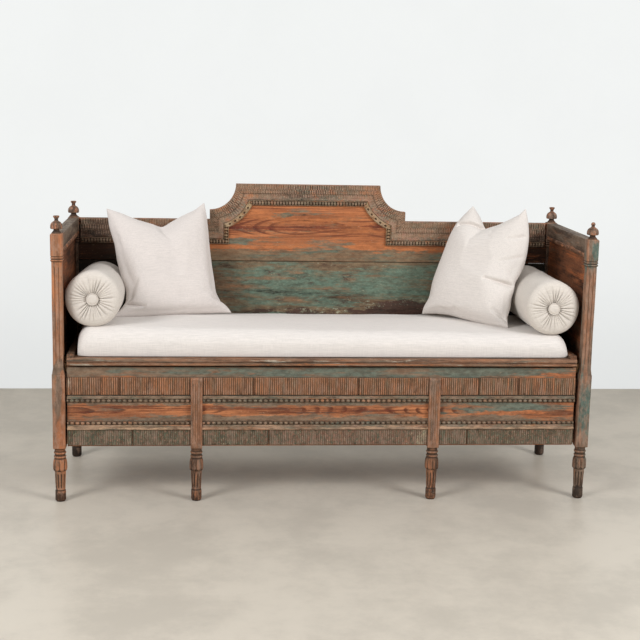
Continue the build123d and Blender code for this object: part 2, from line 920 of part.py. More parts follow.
with BuildPart() as batten_blocks:
    for x in moving_xs:
        board(about(x, slat_width), batten_ys, (slat_level - batten_block_height, slat_level))
    for side_name, side in sides:
        board(
            (side * box_side_face, side * (box_side_face - box_side_thickness)),
            batten_ys,
            (slat_level - batten_block_height, slat_level),
        )
save(batten_blocks, "batten_blocks")

with BuildPart() as apron_slat_ledger:
    board(
        (-box_side_face, box_side_face),
        (apron_back, apron_back + apron_ledger_width),
        (slat_level - apron_ledger_height, slat_level),
    )
save(apron_slat_ledger, "apron_slat_ledger")

for side_name, side in sides:
    with BuildPart() as box_side:
        board(
            (side * box_side_face, side * (box_side_face - box_side_thickness)),
            (apron_back, batten_ys[1]),
            (slat_level, apron_top - box_side_drop),
        )
    save(box_side, f"{side_name}_box_side")

# ledgers on the arm panels and the back that carry the lid
with BuildPart() as lid_ledgers:
    for side_name, side in sides:
        board(
            (side * panel_face, side * (panel_face - lid_ledger_width)),
            (front_y + block_side / 2, back_y - block_side / 2),
            lid_ledger_zs,
        )
    board(
        grown((-panel_face, panel_face), -lid_ledger_width - glue_gap),
        (back_face - lid_ledger_width, back_face),
        lid_ledger_zs,
    )
save(lid_ledgers, "lid_ledgers")


# ---------------------------------------------------------------- loose seat lid
with BuildPart() as lid_boards:
    board(lid_ends, (lid_front + lid_edge_width, lid_board_joint - glue_gap / 2), (lid_bottom, lid_top))
    board(lid_ends, (lid_board_joint + glue_gap / 2, lid_back), (lid_bottom, lid_top))
save(lid_boards, "lid_boards")

# front strip of the lid, grooved along its edge with a lip standing below the groove
with BuildPart() as lid_edge:
    with BuildSketch(Plane.YZ.offset(lid_ends[0])):
        with BuildLine():
            Polyline(
                (lid_front + lid_edge_width, lid_top),
                (lid_front + lid_edge_width, lid_bottom),
                (lid_front + lid_edge_round, lid_bottom),
            )
            Polyline(
                (lid_front + lid_edge_round, lid_bottom),
                (lid_front, lid_bottom + lid_edge_round),
                (lid_front, lid_bottom + lid_edge_groove_bottom),
                (lid_front + lid_edge_groove_depth, lid_bottom + lid_edge_groove_bottom),
                (lid_front + lid_edge_groove_depth, lid_bottom + lid_edge_groove_top),
                (lid_front, lid_bottom + lid_edge_groove_top),
                (lid_front, lid_top - lid_edge_round),
                (lid_front + lid_edge_round, lid_top),
                (lid_front + lid_edge_width, lid_top),
            )
        make_face()
    extrude(amount=lid_ends[1] - lid_ends[0])
save(lid_edge, "lid_edge_moulding")

with BuildPart() as lid_cleats:
    for lid_end, inward in zip(lid_ends, (1, -1)):
        board(
            (lid_end, lid_end + inward * lid_cleat_width),
            (lid_front + lid_cleat_inset, lid_back),
            (lid_top, lid_top + lid_cleat_height),
        )
save(lid_cleats, "lid_cleats")

with BuildPart() as lid_battens:
    for x in grown(about(pull_out_middle, 0), lid_batten_share * pull_out_half):
        board(
            about(x, lid_batten_width),
            (apron_back + lid_batten_margin, back_face - lid_ledger_width - lid_batten_margin),
            (lid_bottom - lid_batten_height, lid_bottom),
        )
save(lid_battens, "lid_battens")


# ---------------------------------------------------------------- mattress and bolsters
with BuildPart() as mattress:
    board(
        (-mattress_half, mattress_half),
        (mattress_front, mattress_back),
        (mattress_bottom, mattress_top),
    )
    chamfer(mattress.edges(), mattress_bevel)
save(mattress, "mattress")

for side_name, side in sides:
    with BuildPart() as bolster:
        with Locations((side * bolster_x, bolster_back - bolster_length / 2, bolster_z)):
            Cylinder(bolster_radius, bolster_length, rotation=(90, 0, 0))
        chamfer(bolster.edges().filter_by(GeomType.CIRCLE), bolster_bevel)
    save(bolster, f"{side_name}_bolster")

    with BuildPart() as buttons:
        for end_y in (bolster_back - bolster_length - button_thickness / 2, bolster_back + button_thickness / 2):
            with Locations((side * bolster_x, end_y, bolster_z)):
                Cylinder(button_radius, button_thickness, rotation=(90, 0, 0))
    save(buttons, f"{side_name}_bolster_buttons")


# ---------------------------------------------------------------- pillows
def pillow(turn, place, tucks, draw):
    """Square pillow standing on its lower edge and leaning back, thinning to its edges.

    The turn is about the upright axis. The tucks take in the left and right lower corners, where
    one presses on the bolster, and the draw takes in both upper corners.
    """
    turned = radians(turn)
    leaned = radians(pillow_lean)
    rise = pillow_height / 2 * cos(leaned) + pillow_edge / 2 * sin(leaned)
    facing = Vector(sin(turned) * cos(leaned), -cos(turned) * cos(leaned), sin(leaned))
    pillow_plane = Plane(
        origin=(place[0], place[1], mattress_top + rest_gap + rise),
        x_dir=(cos(turned), sin(turned), 0),
        z_dir=facing,
    )
    half_width = pillow_width / 2
    half_height = pillow_height / 2
    with BuildPart() as cushion:
        with BuildSketch(pillow_plane):
            with BuildLine():
                Polyline(
                    (tucks[0] - half_width, -half_height),
                    (half_width - tucks[1], -half_height),
                    (half_width - draw, half_height),
                    (draw - half_width, half_height),
                    close=True,
                )
            make_face()
        extrude(amount=pillow_thickness / 2, both=True)
        for end in (0, -1):
            side_face = cushion.faces().sort_by(Axis((0, 0, 0), facing))[end]
            chamfer(
                side_face.edges(),
                length=pillow_bevel,
                length2=(pillow_thickness - pillow_edge) / 2,
                reference=side_face,
            )
    return cushion


left_pillow = pillow(left_pillow_turn, left_pillow_place, left_pillow_tucks, left_pillow_draw)
save(left_pillow, "left_pillow")

right_pillow = pillow(right_pillow_turn, right_pillow_place, right_pillow_tucks, right_pillow_draw)
save(right_pillow, "right_pillow")
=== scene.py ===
"""Looks of the pull-out bench bed: worn paint over carved pine, with linen cushions on the seat."""

from math import radians

import bpy
import numpy as np
from mathutils import Matrix


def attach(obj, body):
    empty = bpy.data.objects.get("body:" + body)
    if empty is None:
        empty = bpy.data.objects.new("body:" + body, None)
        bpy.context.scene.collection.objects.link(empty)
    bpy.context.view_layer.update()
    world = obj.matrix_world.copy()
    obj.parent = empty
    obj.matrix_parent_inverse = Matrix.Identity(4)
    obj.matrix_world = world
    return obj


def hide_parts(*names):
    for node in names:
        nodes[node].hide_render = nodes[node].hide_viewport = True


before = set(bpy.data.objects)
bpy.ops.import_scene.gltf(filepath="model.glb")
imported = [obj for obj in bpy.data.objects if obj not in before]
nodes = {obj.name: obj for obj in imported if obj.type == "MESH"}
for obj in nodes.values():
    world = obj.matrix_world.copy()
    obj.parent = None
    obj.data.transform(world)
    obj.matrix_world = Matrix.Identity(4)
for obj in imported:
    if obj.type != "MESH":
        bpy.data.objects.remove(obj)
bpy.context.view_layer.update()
chance = np.random.default_rng(7)

# --------------------------------------------------- end posts
# Four pine posts, each turned and carved from one square length: a fluted leg with a leafed bell
# and two rings, a square block, a fluted shaft, a collar of two half rounds and a square cap.
# The rails are tenoned into them. The paint is worn to the wood on the shafts and dark at the feet.


def skin(outlines, hollow=0.0):
    """Closed skin over a row of closed outlines of equal count, in millimetres.

    Every outline is joined to the next and the two last are filled flat. The sum of the faces'
    triple products, six times the volume, tells which way round makes the faces point outwards.
    Hollow is how deep each corner lies in the carving, from 0 on the ridges to 1. The carved finishes
    darken the colour by it, as dirt and painted shade.
    """
    outlines = np.asarray(outlines, float)
    rows, size = outlines.shape[:2]
    corner = np.arange(rows * size).reshape(rows, size)
    here, ahead = corner[:-1], corner[1:]
    quads = np.stack([here, np.roll(here, -1, 1), np.roll(ahead, -1, 1), ahead], -1).reshape(-1, 4)
    points = outlines.reshape(-1, 3)
    a, b, c, d = np.moveaxis((points - points.mean(0))[quads], 1, 0)
    ends = np.stack([corner[0, ::-1], corner[-1]])
    if (np.cross(a, b) * c).sum() + (np.cross(a, c) * d).sum() < 0:
        quads, ends = quads[:, ::-1], ends[:, ::-1]
    return points, quads, ends, np.broadcast_to(hollow, (rows, size)).reshape(-1)


def linked(name, data):
    """New object in the scene, at the origin."""
    made = bpy.data.objects.new(name, data)
    bpy.context.scene.collection.objects.link(made)
    return made


def carve(name, skins, finish, body, slot, *stands_for):
    """One piece made of one or more closed skins, riding on its body in place of its CAD nodes."""
    start = np.cumsum([0] + [len(points) for points, quads, ends, hollow in skins])
    faces = []
    for base, (points, quads, ends, hollow) in zip(start, skins):
        faces += (quads + base).tolist() + (ends + base).tolist()
    mesh = bpy.data.meshes.new(name)
    mesh.from_pydata((np.concatenate([part[0] for part in skins]) * 0.001).tolist(), [], faces)
    depth = mesh.attributes.new("hollow", "FLOAT", "POINT")
    depth.data.foreach_set("value", np.concatenate([part[3] for part in skins]))
    mesh.shade_smooth()
    mesh.set_sharp_from_angle(angle=radians(40))
    mesh.materials.append(finish)
    made = linked(name, mesh)
    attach(made, body)
    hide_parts(*stands_for)
    return made


def shade(tint, share=1.0):
    """Colour from a share of its usual 0 to 255 values, each undone of its gamma curve."""
    return (*(((share * value / 255 + 0.055) / 1.055) ** 2.4 for value in tint), 1.0)


def circle(count):
    """Angles of so many even steps round a full turn."""
    return np.linspace(0, 2 * np.pi, count, endpoint=False)


def unit(value):
    """Value kept between 0 and 1."""
    return np.clip(value, 0, 1)


def turned(x, y, reach, z):
    """Outlines about the upright line at x, y, each at its height, from how far they reach all round."""
    count = reach.shape[1]
    turn = circle(count)
    return np.stack([x + reach * np.cos(turn), y + reach * np.sin(turn), np.repeat(z[:, None], count, 1)], -1)


class Wire:
    """One socket of a finish. Arithmetic on it adds the Math nodes."""

    def __init__(self, finish, socket):
        self.finish = finish
        self.socket = socket

    def maths(self, operation, *values):
        return self.finish.node("ShaderNodeMath", {"operation": operation}, dict(enumerate(values)))

    def __add__(self, other):
        return self.maths("ADD", self, other)

    def __sub__(self, other):
        return self.maths("SUBTRACT", self, other)

    def __mul__(self, other):
        return self.maths("MULTIPLY", self, other)


class Finish:
    """One material, made of nodes."""

    def __init__(self, name):
        self.material = bpy.data.materials.new(name)
        self.material.use_nodes = True
        self.tree = self.material.node_tree
        self.shader = self.tree.nodes["Principled BSDF"]
        self.place = self.node("ShaderNodeTexCoord", output="Object")

    def node(self, kind, settings=(), sockets=(), output=0):
        """Any node: its settings, a ramp's stops among them, then the values or links of its sockets."""
        made = self.tree.nodes.new(kind)
        for setting, value in dict(settings).items():
            if setting == "stops":
                stops = made.color_ramp.elements
                for stop, (at, grey) in enumerate(value):
                    spot = stops[stop] if stop < 2 else stops.new(at)
                    spot.position = at
                    spot.color = (grey, grey, grey, 1.0)
            else:
                setattr(made, setting, value)
        self.fill(made, dict(sockets))
        return Wire(self, made.outputs[output])

    def fill(self, node, sockets):
        """Constants and links of a node's sockets."""
        for socket, value in sockets.items():
            if isinstance(value, Wire):
                self.tree.links.new(value.socket, node.inputs[socket])
            else:
                node.inputs[socket].default_value = value

    def feed(self, **sockets):
        """Constants and links of the shader's own sockets; underscores stand for spaces."""
        self.fill(self.shader, {socket.replace("_", " "): value for socket, value in sockets.items()})

    def vector(self, operation, first, second, output=0):
        """Vector Math of two vectors."""
        settings = {"operation": operation}
        return self.node("ShaderNodeVectorMath", settings, {0: first, 1: second}, output)

    def mark(self, name):
        """A number kept at the mesh's points under a name."""
        return self.node("ShaderNodeAttribute", {"attribute_name": name}, (), "Fac")

    def noise(self, per_metre, detail, roughness, seed):
        """Cloudy noise from 0 to 1, with so many clouds to the metre along each axis."""
        shift = (seed, 1.7 * seed, 0.6 * seed)
        laid = {"Vector": self.place, "Location": shift, "Scale": per_metre}
        spread = self.node("ShaderNodeMapping", (), laid)
        look = {"Vector": spread, "Scale": 1.0, "Detail": detail, "Roughness": roughness}
        return self.node("ShaderNodeTexNoise", (), look)

    def rise(self, value, low, high):
        """0 below low, 1 above high, and a smooth step between."""
        smooth = {"interpolation_type": "SMOOTHSTEP"}
        ends = {"Value": value, "From Min": low, "From Max": high}
        return self.node("ShaderNodeMapRange", smooth, ends)

    def cover(self, mask, under, over):
        """The colour over where the mask is 1, the colour under where it is 0."""
        return self.node("ShaderNodeMix", {"data_type": "RGBA"}, {0: mask, 6: under, 7: over}, 2)

    def patch(self, place, middle, reach):
        """1 inside an oval about its middle, fading to 0 a little outside its reach, in metres."""
        share = self.vector("DIVIDE", self.vector("SUBTRACT", place, middle), reach)
        distance = self.node("ShaderNodeVectorMath", {"operation": "LENGTH"}, {0: share}, "Value")
        return self.rise(distance, 1.3, 0.5)


def worn_pine(
    name, grain, seed, coats,
    light=(180, 118, 80), dark=(104, 62, 42), heart=0.0, flame=0.015, carved=False, worn=0.3,
):
    """Pine with its rings and fibres, and coats of paint worn through in blots along the grain.

    A coat is its colour, the noise level above which it shows (0.4 covers nearly all, 0.5 half,
    0.6 little), how well it hides, its blots to the metre across and along the grain, and patches,
    each a middle, a reach and how much it raises the noise. Heart is where the flame of the figure
    lies across the piece and flame how far it spreads to either side, in metres. Worn is how bare
    the arrises are.
    """
    finish = Finish(name)
    axis = "xyz".index(grain)

    def cloud(across, along, detail, roughness, shift):
        per_metre = [along if other == axis else across for other in range(3)]
        return finish.noise(per_metre, detail, roughness, seed + shift)

    # growth rings: the distance from a heart line that swims under the face, cut into teeth
    rings_per_metre = 190.0
    crossing = 0 if grain == "z" else 2
    across = finish.node("ShaderNodeSeparateXYZ", (), {0: finish.place}, crossing)
    wander = cloud(7.0, 1.3, 3.0, 0.55, 0.0)
    depth = cloud(0.6, 1.2, 1.0, 0.5, 7.0) * 0.22 - 0.06
    off = across - heart + wander * 0.044 - 0.022
    reach = off * off + depth * depth
    teeth = reach.maths("SQRT", reach) * rings_per_metre
    tooth = {"stops": ((0.0, 0.1), (1.0, 0.0), (0.5, 0.16), (0.84, 1.0))}
    ring = finish.node("ShaderNodeValToRGB", tooth, {0: teeth.maths("FRACT", teeth)})
    ring = finish.rise(off.maths("ABSOLUTE", off), flame, flame * 0.5) * ring
    fibre = cloud(480.0, 9.0, 3.0, 0.7, 0.0)
    streak = cloud(150.0, 3.5, 5.0, 0.7, 5.0)
    speck = cloud(330.0, 110.0, 3.0, 0.75, 2.0)
    tone = cloud(14.0, 3.0, 5.0, 0.65, 4.0)
    shadow = finish.rise(ring * 0.3 + streak * 0.8 + fibre * 0.3 + tone * 0.4, 0.64, 0.98)
    colour = finish.cover(shadow, shade(light), shade(dark))

    # patches are laid out on axes bent by noise, which leaves their edges ragged
    slide = cloud(34.0, 9.0, 7.0, 0.72, 41.0) * 0.2 - 0.1
    lift = cloud(60.0, 16.0, 7.0, 0.72, 42.0) * 0.05 - 0.025
    bends = {0: lift, 1: 0.0, 2: lift, axis: slide}
    bent = finish.vector("ADD", finish.place, finish.node("ShaderNodeCombineXYZ", (), bends))

    # worn arrises show in the difference between the true and a rounded normal
    arris = finish.node("ShaderNodeBevel", {"samples": 4}, {"Radius": 0.002})
    true = finish.node("ShaderNodeNewGeometry", output="True Normal")
    wear = finish.rise(finish.vector("DOT_PRODUCT", arris, true, "Value"), 0.995, 0.9)
    paint = fibre * 0.0
    for number, (tint, level, hiding, blots, *patches) in enumerate(coats):
        spread = cloud(*blots, 9.0, 0.72, 9.0 * number)
        for middle, reach, weight in patches:
            spread = spread + finish.patch(bent, middle, reach) * weight
        broken = spread + fibre * 0.12 + speck * 0.12 + streak * 0.16 - wear * 0.08
        mask = finish.rise(broken, level + 0.13, level + 0.27) * hiding
        mottle = cloud(70.0, 30.0, 5.0, 0.75, 3.0 + number)
        mottled = finish.cover(finish.rise(mottle, 0.35, 0.65), shade(tint), shade(tint, 0.7))
        colour = finish.cover(mask, colour, mottled)
        paint = paint.maths("MAXIMUM", paint, mask)
    if carved:
        hollow = finish.mark("hollow")
        rub = cloud(40.0, 18.0, 6.0, 0.75, 30.0)
        rubbed = finish.rise(rub - hollow * 0.35 + speck * 0.2, 0.52, 0.72)
        bared = shade([0.5 * value + 78 for value in light])
        colour = finish.cover(rubbed * 0.45, colour, bared)
        # darker in the hollows of the carving, under its ledges and in its cuts: dirt, and painted shade
        colour = finish.cover(finish.rise(hollow, 0.1, 0.75) * 0.86, colour, shade(DIRT_AND_SHADE))
    colour = finish.cover(finish.rise(speck, 0.6, 0.74) * 0.4, colour, shade((48, 38, 30)))
    dust = cloud(170.0, 90.0, 4.0, 0.75, 6.0)
    colour = finish.cover(finish.rise(dust, 0.58, 0.74) * 0.35, colour, shade((188, 164, 138)))
    colour = finish.cover(wear * worn, colour, shade((176, 134, 102)))
    height = fibre * 0.45 + ring * 0.2 + paint * 0.35 + speck * 0.25
    relief = {"Strength": 0.55, "Distance": 0.0014, "Height": height, "Normal": arris}
    bump = finish.node("ShaderNodeBump", (), relief)
    finish.feed(Base_Color=colour, Roughness=fibre * 0.25 + 0.52, Specular_IOR_Level=0.22, Normal=bump)
    return finish.material


GREY_BROWN = (112, 100, 86)
UMBER = (74, 54, 42)
TEAL = (82, 112, 104)
BLACK_BROWN = (34, 27, 22)
CREAM = (206, 196, 172)
# colour of the dirt and painted shade in the hollows of carved pieces
DIRT_AND_SHADE = (40, 32, 26)

post_x = 920.0
post_y = 274.5


def leg_skin(x, y):
    """Turned leg about the upright line at x, y, in 120 points round.

    The radius follows a profile up the leg. Ten hollows take their depth from the cosine of ten
    times the angle; the bell is cut between its eight leaves where the sine of four times it is 0.
    """
    stations = np.array(
        [
            (0, 15.0, 0.6), (4, 15.0, 0.9), (4, 17.6, 0.6), (6, 18.5, 0.3), (37, 18.3, 0.2),
            (39.5, 17.4, 0.6), (41.5, 16.5, 0.9), (44, 16.6, 0.1), (109, 19.4, 0.1), (110, 19.5, 0.9),
            (110.2, 21.6, 0.6),
            (112, 23.4, 0.3), (117, 24.5, 0.0), (126, 24.5, 0.0), (138, 24.0, 0.0), (147, 22.8, 0.1),
            (152, 21.0, 0.3), (155, 18.9, 0.8), (156.5, 18.5, 1.0), (157.5, 20.3, 0.3), (160.5, 21.5, 0.0),
            (163.5, 20.3, 0.3), (165, 18.5, 1.0), (170, 18.5, 1.0), (171.5, 20.3, 0.3), (174.5, 21.5, 0.0),
            (177.5, 20.3, 0.3), (179, 18.5, 0.9), (184, 18.5, 0.4), (192, 19.5, 0.6),
        ]
    )
    extra = np.concatenate([np.linspace(46, 106, 26), np.linspace(111, 152, 22)])
    z = np.sort(np.concatenate([stations[:, 0], extra]))
    radius = np.interp(z, stations[:, 0], stations[:, 1])
    radius[z == 4] = stations[1:3, 1]
    # the third column darkens the leg under its rings and steps and at the foot: dirt, and painted shade
    grime_and_shade = np.interp(z, stations[:, 0], stations[:, 2])
    flutes, leaves = 10, 8
    turn = circle(120)
    window = unit(np.minimum(z - 47, 103 - z) / 6)
    flute = unit(np.cos(flutes * turn)) ** 0.7
    leafed = unit(np.minimum((z - 110.5) / 3, (154 - z) / 12))
    leaf = leaves / 2 * turn
    seam = np.exp(-((np.sin(leaf) / 0.3) ** 2))
    vein = 0.45 * np.exp(-((np.cos(leaf) / 0.16) ** 2))
    tip = unit((119 - z) / 8) * (z > 110)
    cut = 1.7 * window[:, None] * flute + 1.6 * leafed[:, None] * np.maximum(seam, vein)
    cut += 2.0 * tip[:, None] * np.abs(np.cos(leaf)) ** 3
    return skin(turned(x, y, radius[:, None] - cut, z), unit(grime_and_shade[:, None] + 0.5 * cut))


def post_skin(x, y):
    """Square length of a post above its leg, in 24 points a side.

    Each outline is a square whose corners are rounded by dividing by a high norm. On the shaft two
    flutes a side are cut, triangular across and 2 mm deep. Two half rounds make the collar.
    """
    across = np.array(
        [-1, -0.97, -0.9, -0.78, -0.62, -0.52, -0.47, -0.42, -0.37, -0.32, -0.27, -0.22,
         -0.1, 0.1, 0.22, 0.27, 0.32, 0.37, 0.42, 0.47, 0.52, 0.62, 0.78, 0.9]
    )
    bead = np.sin(np.linspace(0, np.pi, 7))
    stations = [(192, 20.6, 0.3), (193, 21.5, 0), (250, 21.5, 0), (320, 21.4, 0), (400, 21.5, 0)]
    stations += [(453, 21.5, 0), (455, 21.0, 0.3), (457, 20.2, 0.2), (475, 17.6, 0.3), (478, 17.5, 0.2)]
    stations += [(z, 17.5, 0) for z in (489, 492, 496, 560, 620, 700, 760, 800, 821, 825, 828)]
    stations += [(840, 17.5, 0.2), (842, 17.4, 1)]
    for low in (842, 851):
        stations += [(low + 9 * step / 6, 17.4 + 3.35 * swell, 1 - swell) for step, swell in enumerate(bead)]
    stations += [(860.5, 19.4, 0.6), (862, 20, 0), (900, 20, 0), (932, 20, 0), (934.5, 19.6, 0), (937, 17, 0)]
    # the third column darkens under the collar, between its half rounds and at the steps: dirt, and painted
    # shade
    z, half, grime_and_shade = np.array(stations, float).T
    side = np.stack([across, np.full(len(across), -1.0)], -1)
    square = np.concatenate([side, side[:, ::-1] * (-1, 1), -side, side[:, ::-1] * (1, -1)])
    norm, flute_depth = 26, 2.0
    flat = square / ((np.abs(square) ** norm).sum(1) ** (1 / norm))[:, None]
    window = unit(np.minimum(z - 489, 828 - z) / 6)
    reach = np.tile(across, 4) * half[:, None]
    groove = window[:, None] * unit(1 - np.abs(np.abs(reach) - 6.5) / 2.3)
    inward = np.where(np.abs(square).argmax(1)[:, None] == np.arange(2), np.sign(square), 0)
    wobble = 0.25 * np.sin(z / 41 + x)
    level = flat * (half + wobble)[:, None, None] - inward * flute_depth * groove[..., None]
    heights = np.repeat(z[:, None], len(square), 1)[..., None]
    outlines = np.concatenate([level + (x, y), heights], -1)
    return skin(outlines, unit(grime_and_shade[:, None] + 0.6 * groove))


post_coats = {
    "front_left_post": (
        ((150, 112, 86), 0.46, 0.6, (26, 4)),
        ((152, 94, 60), 0.62, 0.6, (26, 5), ((-0.92, -0.3, 0.28), (0.06, 0.05, 0.14), 0.16)),
        (GREY_BROWN, 0.57, 0.8, (24, 5),
         ((-0.92, -0.3, 0.36), (0.012, 0.05, 0.09), 0.12), ((-0.92, -0.3, 0.475), (0.05, 0.05, 0.02), 0.3)),
        (UMBER, 0.62, 0.7, (40, 6), ((-0.944, -0.27, 0.32), (0.012, 0.05, 0.13), 0.1)),
        (BLACK_BROWN, 0.68, 0.8, (22, 12),
         ((-0.92, -0.28, 0.0), (0.1, 0.1, 0.06), 0.3), ((-0.92, -0.28, 0.13), (0.1, 0.1, 0.06), 0.1)),
    ),
    "front_right_post": (
        ((140, 108, 88), 0.42, 0.7, (26, 4)),
        (GREY_BROWN, 0.52, 0.8, (26, 4),
         ((0.92, -0.3, 0.9), (0.05, 0.05, 0.1), 0.1), ((0.92, -0.28, 0.02), (0.1, 0.1, 0.09), 0.2)),
        (TEAL, 0.61, 0.8, (26, 8),
         ((0.93, -0.3, 0.9), (0.014, 0.04, 0.04), 0.25), ((0.93, -0.3, 0.33), (0.03, 0.05, 0.13), 0.16),
         ((0.92, -0.28, 0.85), (0.05, 0.05, 0.016), 0.2)),
        (UMBER, 0.6, 0.7, (36, 6)),
        (BLACK_BROWN, 0.68, 0.8, (22, 12),
         ((0.92, -0.28, 0.0), (0.1, 0.1, 0.05), 0.2), ((0.92, -0.28, 0.13), (0.1, 0.1, 0.06), 0.1)),
    ),
    "back_left_post": (
        (GREY_BROWN, 0.42, 0.85, (30, 5)),
        (UMBER, 0.5, 0.8, (30, 5)),
        (BLACK_BROWN, 0.56, 0.9, (22, 12), ((-0.92, 0.28, 0.0), (0.1, 0.1, 0.2), 0.3)),
    ),
    "back_right_post": (
        (GREY_BROWN, 0.42, 0.85, (30, 5)),
        (TEAL, 0.6, 0.7, (26, 8)),
        (UMBER, 0.5, 0.8, (30, 5)),
        (BLACK_BROWN, 0.58, 0.9, (22, 12), ((0.92, 0.28, 0.0), (0.1, 0.1, 0.2), 0.3)),
    ),
}
for number, (name, coats) in enumerate(post_coats.items()):
    x = post_x if "right" in name else -post_x
    y = post_y if "back" in name else -post_y
    finish = worn_pine(name, "z", 11.0 + 3 * number, coats, carved=True)
    carve(f"worn_{name}", [leg_skin(x, y), post_skin(x, y)], finish, "frame", "painted_pine", name)

# ----------------------------------------------------- finials
# Four small turned finials of birch on dowels: a flared base, a bell with a flat underside and a
# cup; the front right one ends in a ball. Their paint is chipped and grey-brown.


def finial_skin(x, y, ball_tip):
    """Turned finial in 64 points round, its radius following a profile over height."""
    stations = [(917, 7), (936.9, 7), (937, 16.5), (939, 16.2), (943, 12.6), (946, 10.3), (951, 9.6)]
    stations += [(951.6, 10.5), (951.8, 17.8), (952.6, 19.6), (955, 20.5), (960, 20.5), (965, 19.9)]
    stations += [(969.5, 18.2), (973.5, 15.0), (976.5, 11.0), (978.2, 7.6)]
    if ball_tip:
        rise = np.linspace(-0.85, np.pi / 2 - 0.02, 14)
        stations += [(980.5, 6.2)] + [(988.5 + 7.5 * np.sin(a), 7.5 * np.cos(a)) for a in rise]
    else:
        stations += [(980.5, 6.6), (983, 6.2), (985.5, 6.4), (988, 7.6), (990.5, 9.6), (993, 10.4)]
        stations += [(995.4, 10.2), (996, 9.6), (995.0, 8.2), (993.4, 6.0), (992.8, 2.0)]
    z, radius = np.array(stations, float).T
    turn = circle(64)
    rim = radius[:, None] * (1 + 0.012 * np.sin(3 * turn + x))
    # darker under the base, under the flat underside of the bell and at the neck: dirt, and painted shade
    grime_and_shade = np.interp(z, (937, 944, 950, 953, 975, 983, 990), (0.4, 0.7, 1.0, 0.1, 0.1, 0.7, 0.1))
    return skin(turned(x, y, rim, z), np.repeat(grime_and_shade[:, None], 64, 1))


finial_coats = (
    (GREY_BROWN, 0.48, 0.8, (70, 50)),
    (UMBER, 0.52, 0.8, (60, 40)),
    (CREAM, 0.72, 0.8, (90, 90)),
)
finial_finish = worn_pine("finial_paint", "z", 31.0, finial_coats, light=(172, 120, 92), carved=True)
finials = [finial_skin(x, y, x > 0 > y) for x in (-post_x, post_x) for y in (-post_y, post_y)]
carve("turned_finials", finials, finial_finish, "frame", "painted_pine", "finials")

# -------------------------------------------------------- arms
# Each arm is a thick flat-topped rail and a low rail, both tenoned into the posts, with a thin
# panel held in their grooves. The tops are greyed by hands and light; the inner faces are darkened
# with painted shade.


def dress(name, finish):
    """Give a CAD node its finish."""
    nodes[name].data.materials.clear()
    nodes[name].data.materials.append(finish)


for number, (side, sign) in enumerate((("left", -1), ("right", 1))):
    rail_coats = (
        (GREY_BROWN, 0.38, 0.9, (24, 3), ((sign * 0.92, 0.0, 0.934), (0.1, 0.4, 0.006), 0.2)),
        ((140, 126, 112), 0.6, 0.8, (30, 3), ((sign * 0.92, 0.0, 0.94), (0.1, 0.4, 0.012), 0.26)),
        (UMBER, 0.55, 0.8, (36, 4), ((sign * 0.9, 0.0, 0.88), (0.02, 0.4, 0.02), 0.1)),
    )
    dress(f"{side}_arm_rail", worn_pine(f"{side}_arm_rail", "y", 41.0 + number, rail_coats))
    panel_coats = (
        ((100, 68, 50), 0.42, 0.7, (16, 3)),
        (GREY_BROWN, 0.58, 0.6, (22, 3)),
        # painted shade: the panel darkened to near black where the arm shades it
        (BLACK_BROWN, 0.56, 0.8, (14, 3), ((sign * 0.91, 0.1, 0.5), (0.1, 0.3, 0.2), 0.12)),
    )
    panel_pine = {"light": (168, 98, 58), "dark": (98, 54, 34), "heart": 0.7}
    panel_finish = worn_pine(f"{side}_arm_panel", "y", 51.0 + number, panel_coats, **panel_pine)
    dress(f"{side}_arm_panel", panel_finish)
    low_coats = ((GREY_BROWN, 0.5, 0.8, (20, 4)), (UMBER, 0.55, 0.8, (20, 4)))
    low_finish = worn_pine(f"{side}_arm_bottom_rail", "y", 61.0 + number, low_coats)
    dress(f"{side}_arm_bottom_rail", low_finish)


def arm_bead_skin(sign):
    """Row of flat beads 13 mm long under a rail: a half round 16 high, thinner between the beads."""
    y = np.arange(-254.3, 254.4, 1.3)
    swell = np.abs(np.cos(np.pi * y / 13)) ** 0.5
    around = np.linspace(0, np.pi, 9)
    out = (0.9 + 3.0 * swell[:, None]) * np.sin(around)
    z = 878 - 7.9 * np.cos(around) * np.ones_like(out)
    face = np.stack([sign * (902 - out), np.repeat(y[:, None], 9, 1), z], -1)
    return skin(face, np.repeat(1 - swell[:, None], 9, 1))


arm_bead_coats = ((UMBER, 0.45, 0.8, (40, 20)), (CREAM, 0.66, 0.7, (60, 30)))
arm_bead_finish = worn_pine("arm_bead", "y", 71.0, arm_bead_coats, carved=True)
arm_beads = [arm_bead_skin(-1), arm_bead_skin(1)]
carve("carved_arm_beads", arm_beads, arm_bead_finish, "frame", "carved_pine", "arm_beads")

# ------------------------------------------------- back planks
# Three wide pine planks slotted into the back posts: a crest plank in orange-brown pine with a dark
# flame figure, one behind the seat with old blue-green paint, and one behind the bed box. A loose
# tongue closes the shrunken joint of the upper two; it falls short at the right, where light shows.
# Their backs were never painted.


def on_back(x, z, reach_x, reach_z, weight):
    """Patch of a coat on the front face of the back."""
    return (x, 0.26, z), (reach_x, 0.1, reach_z), weight


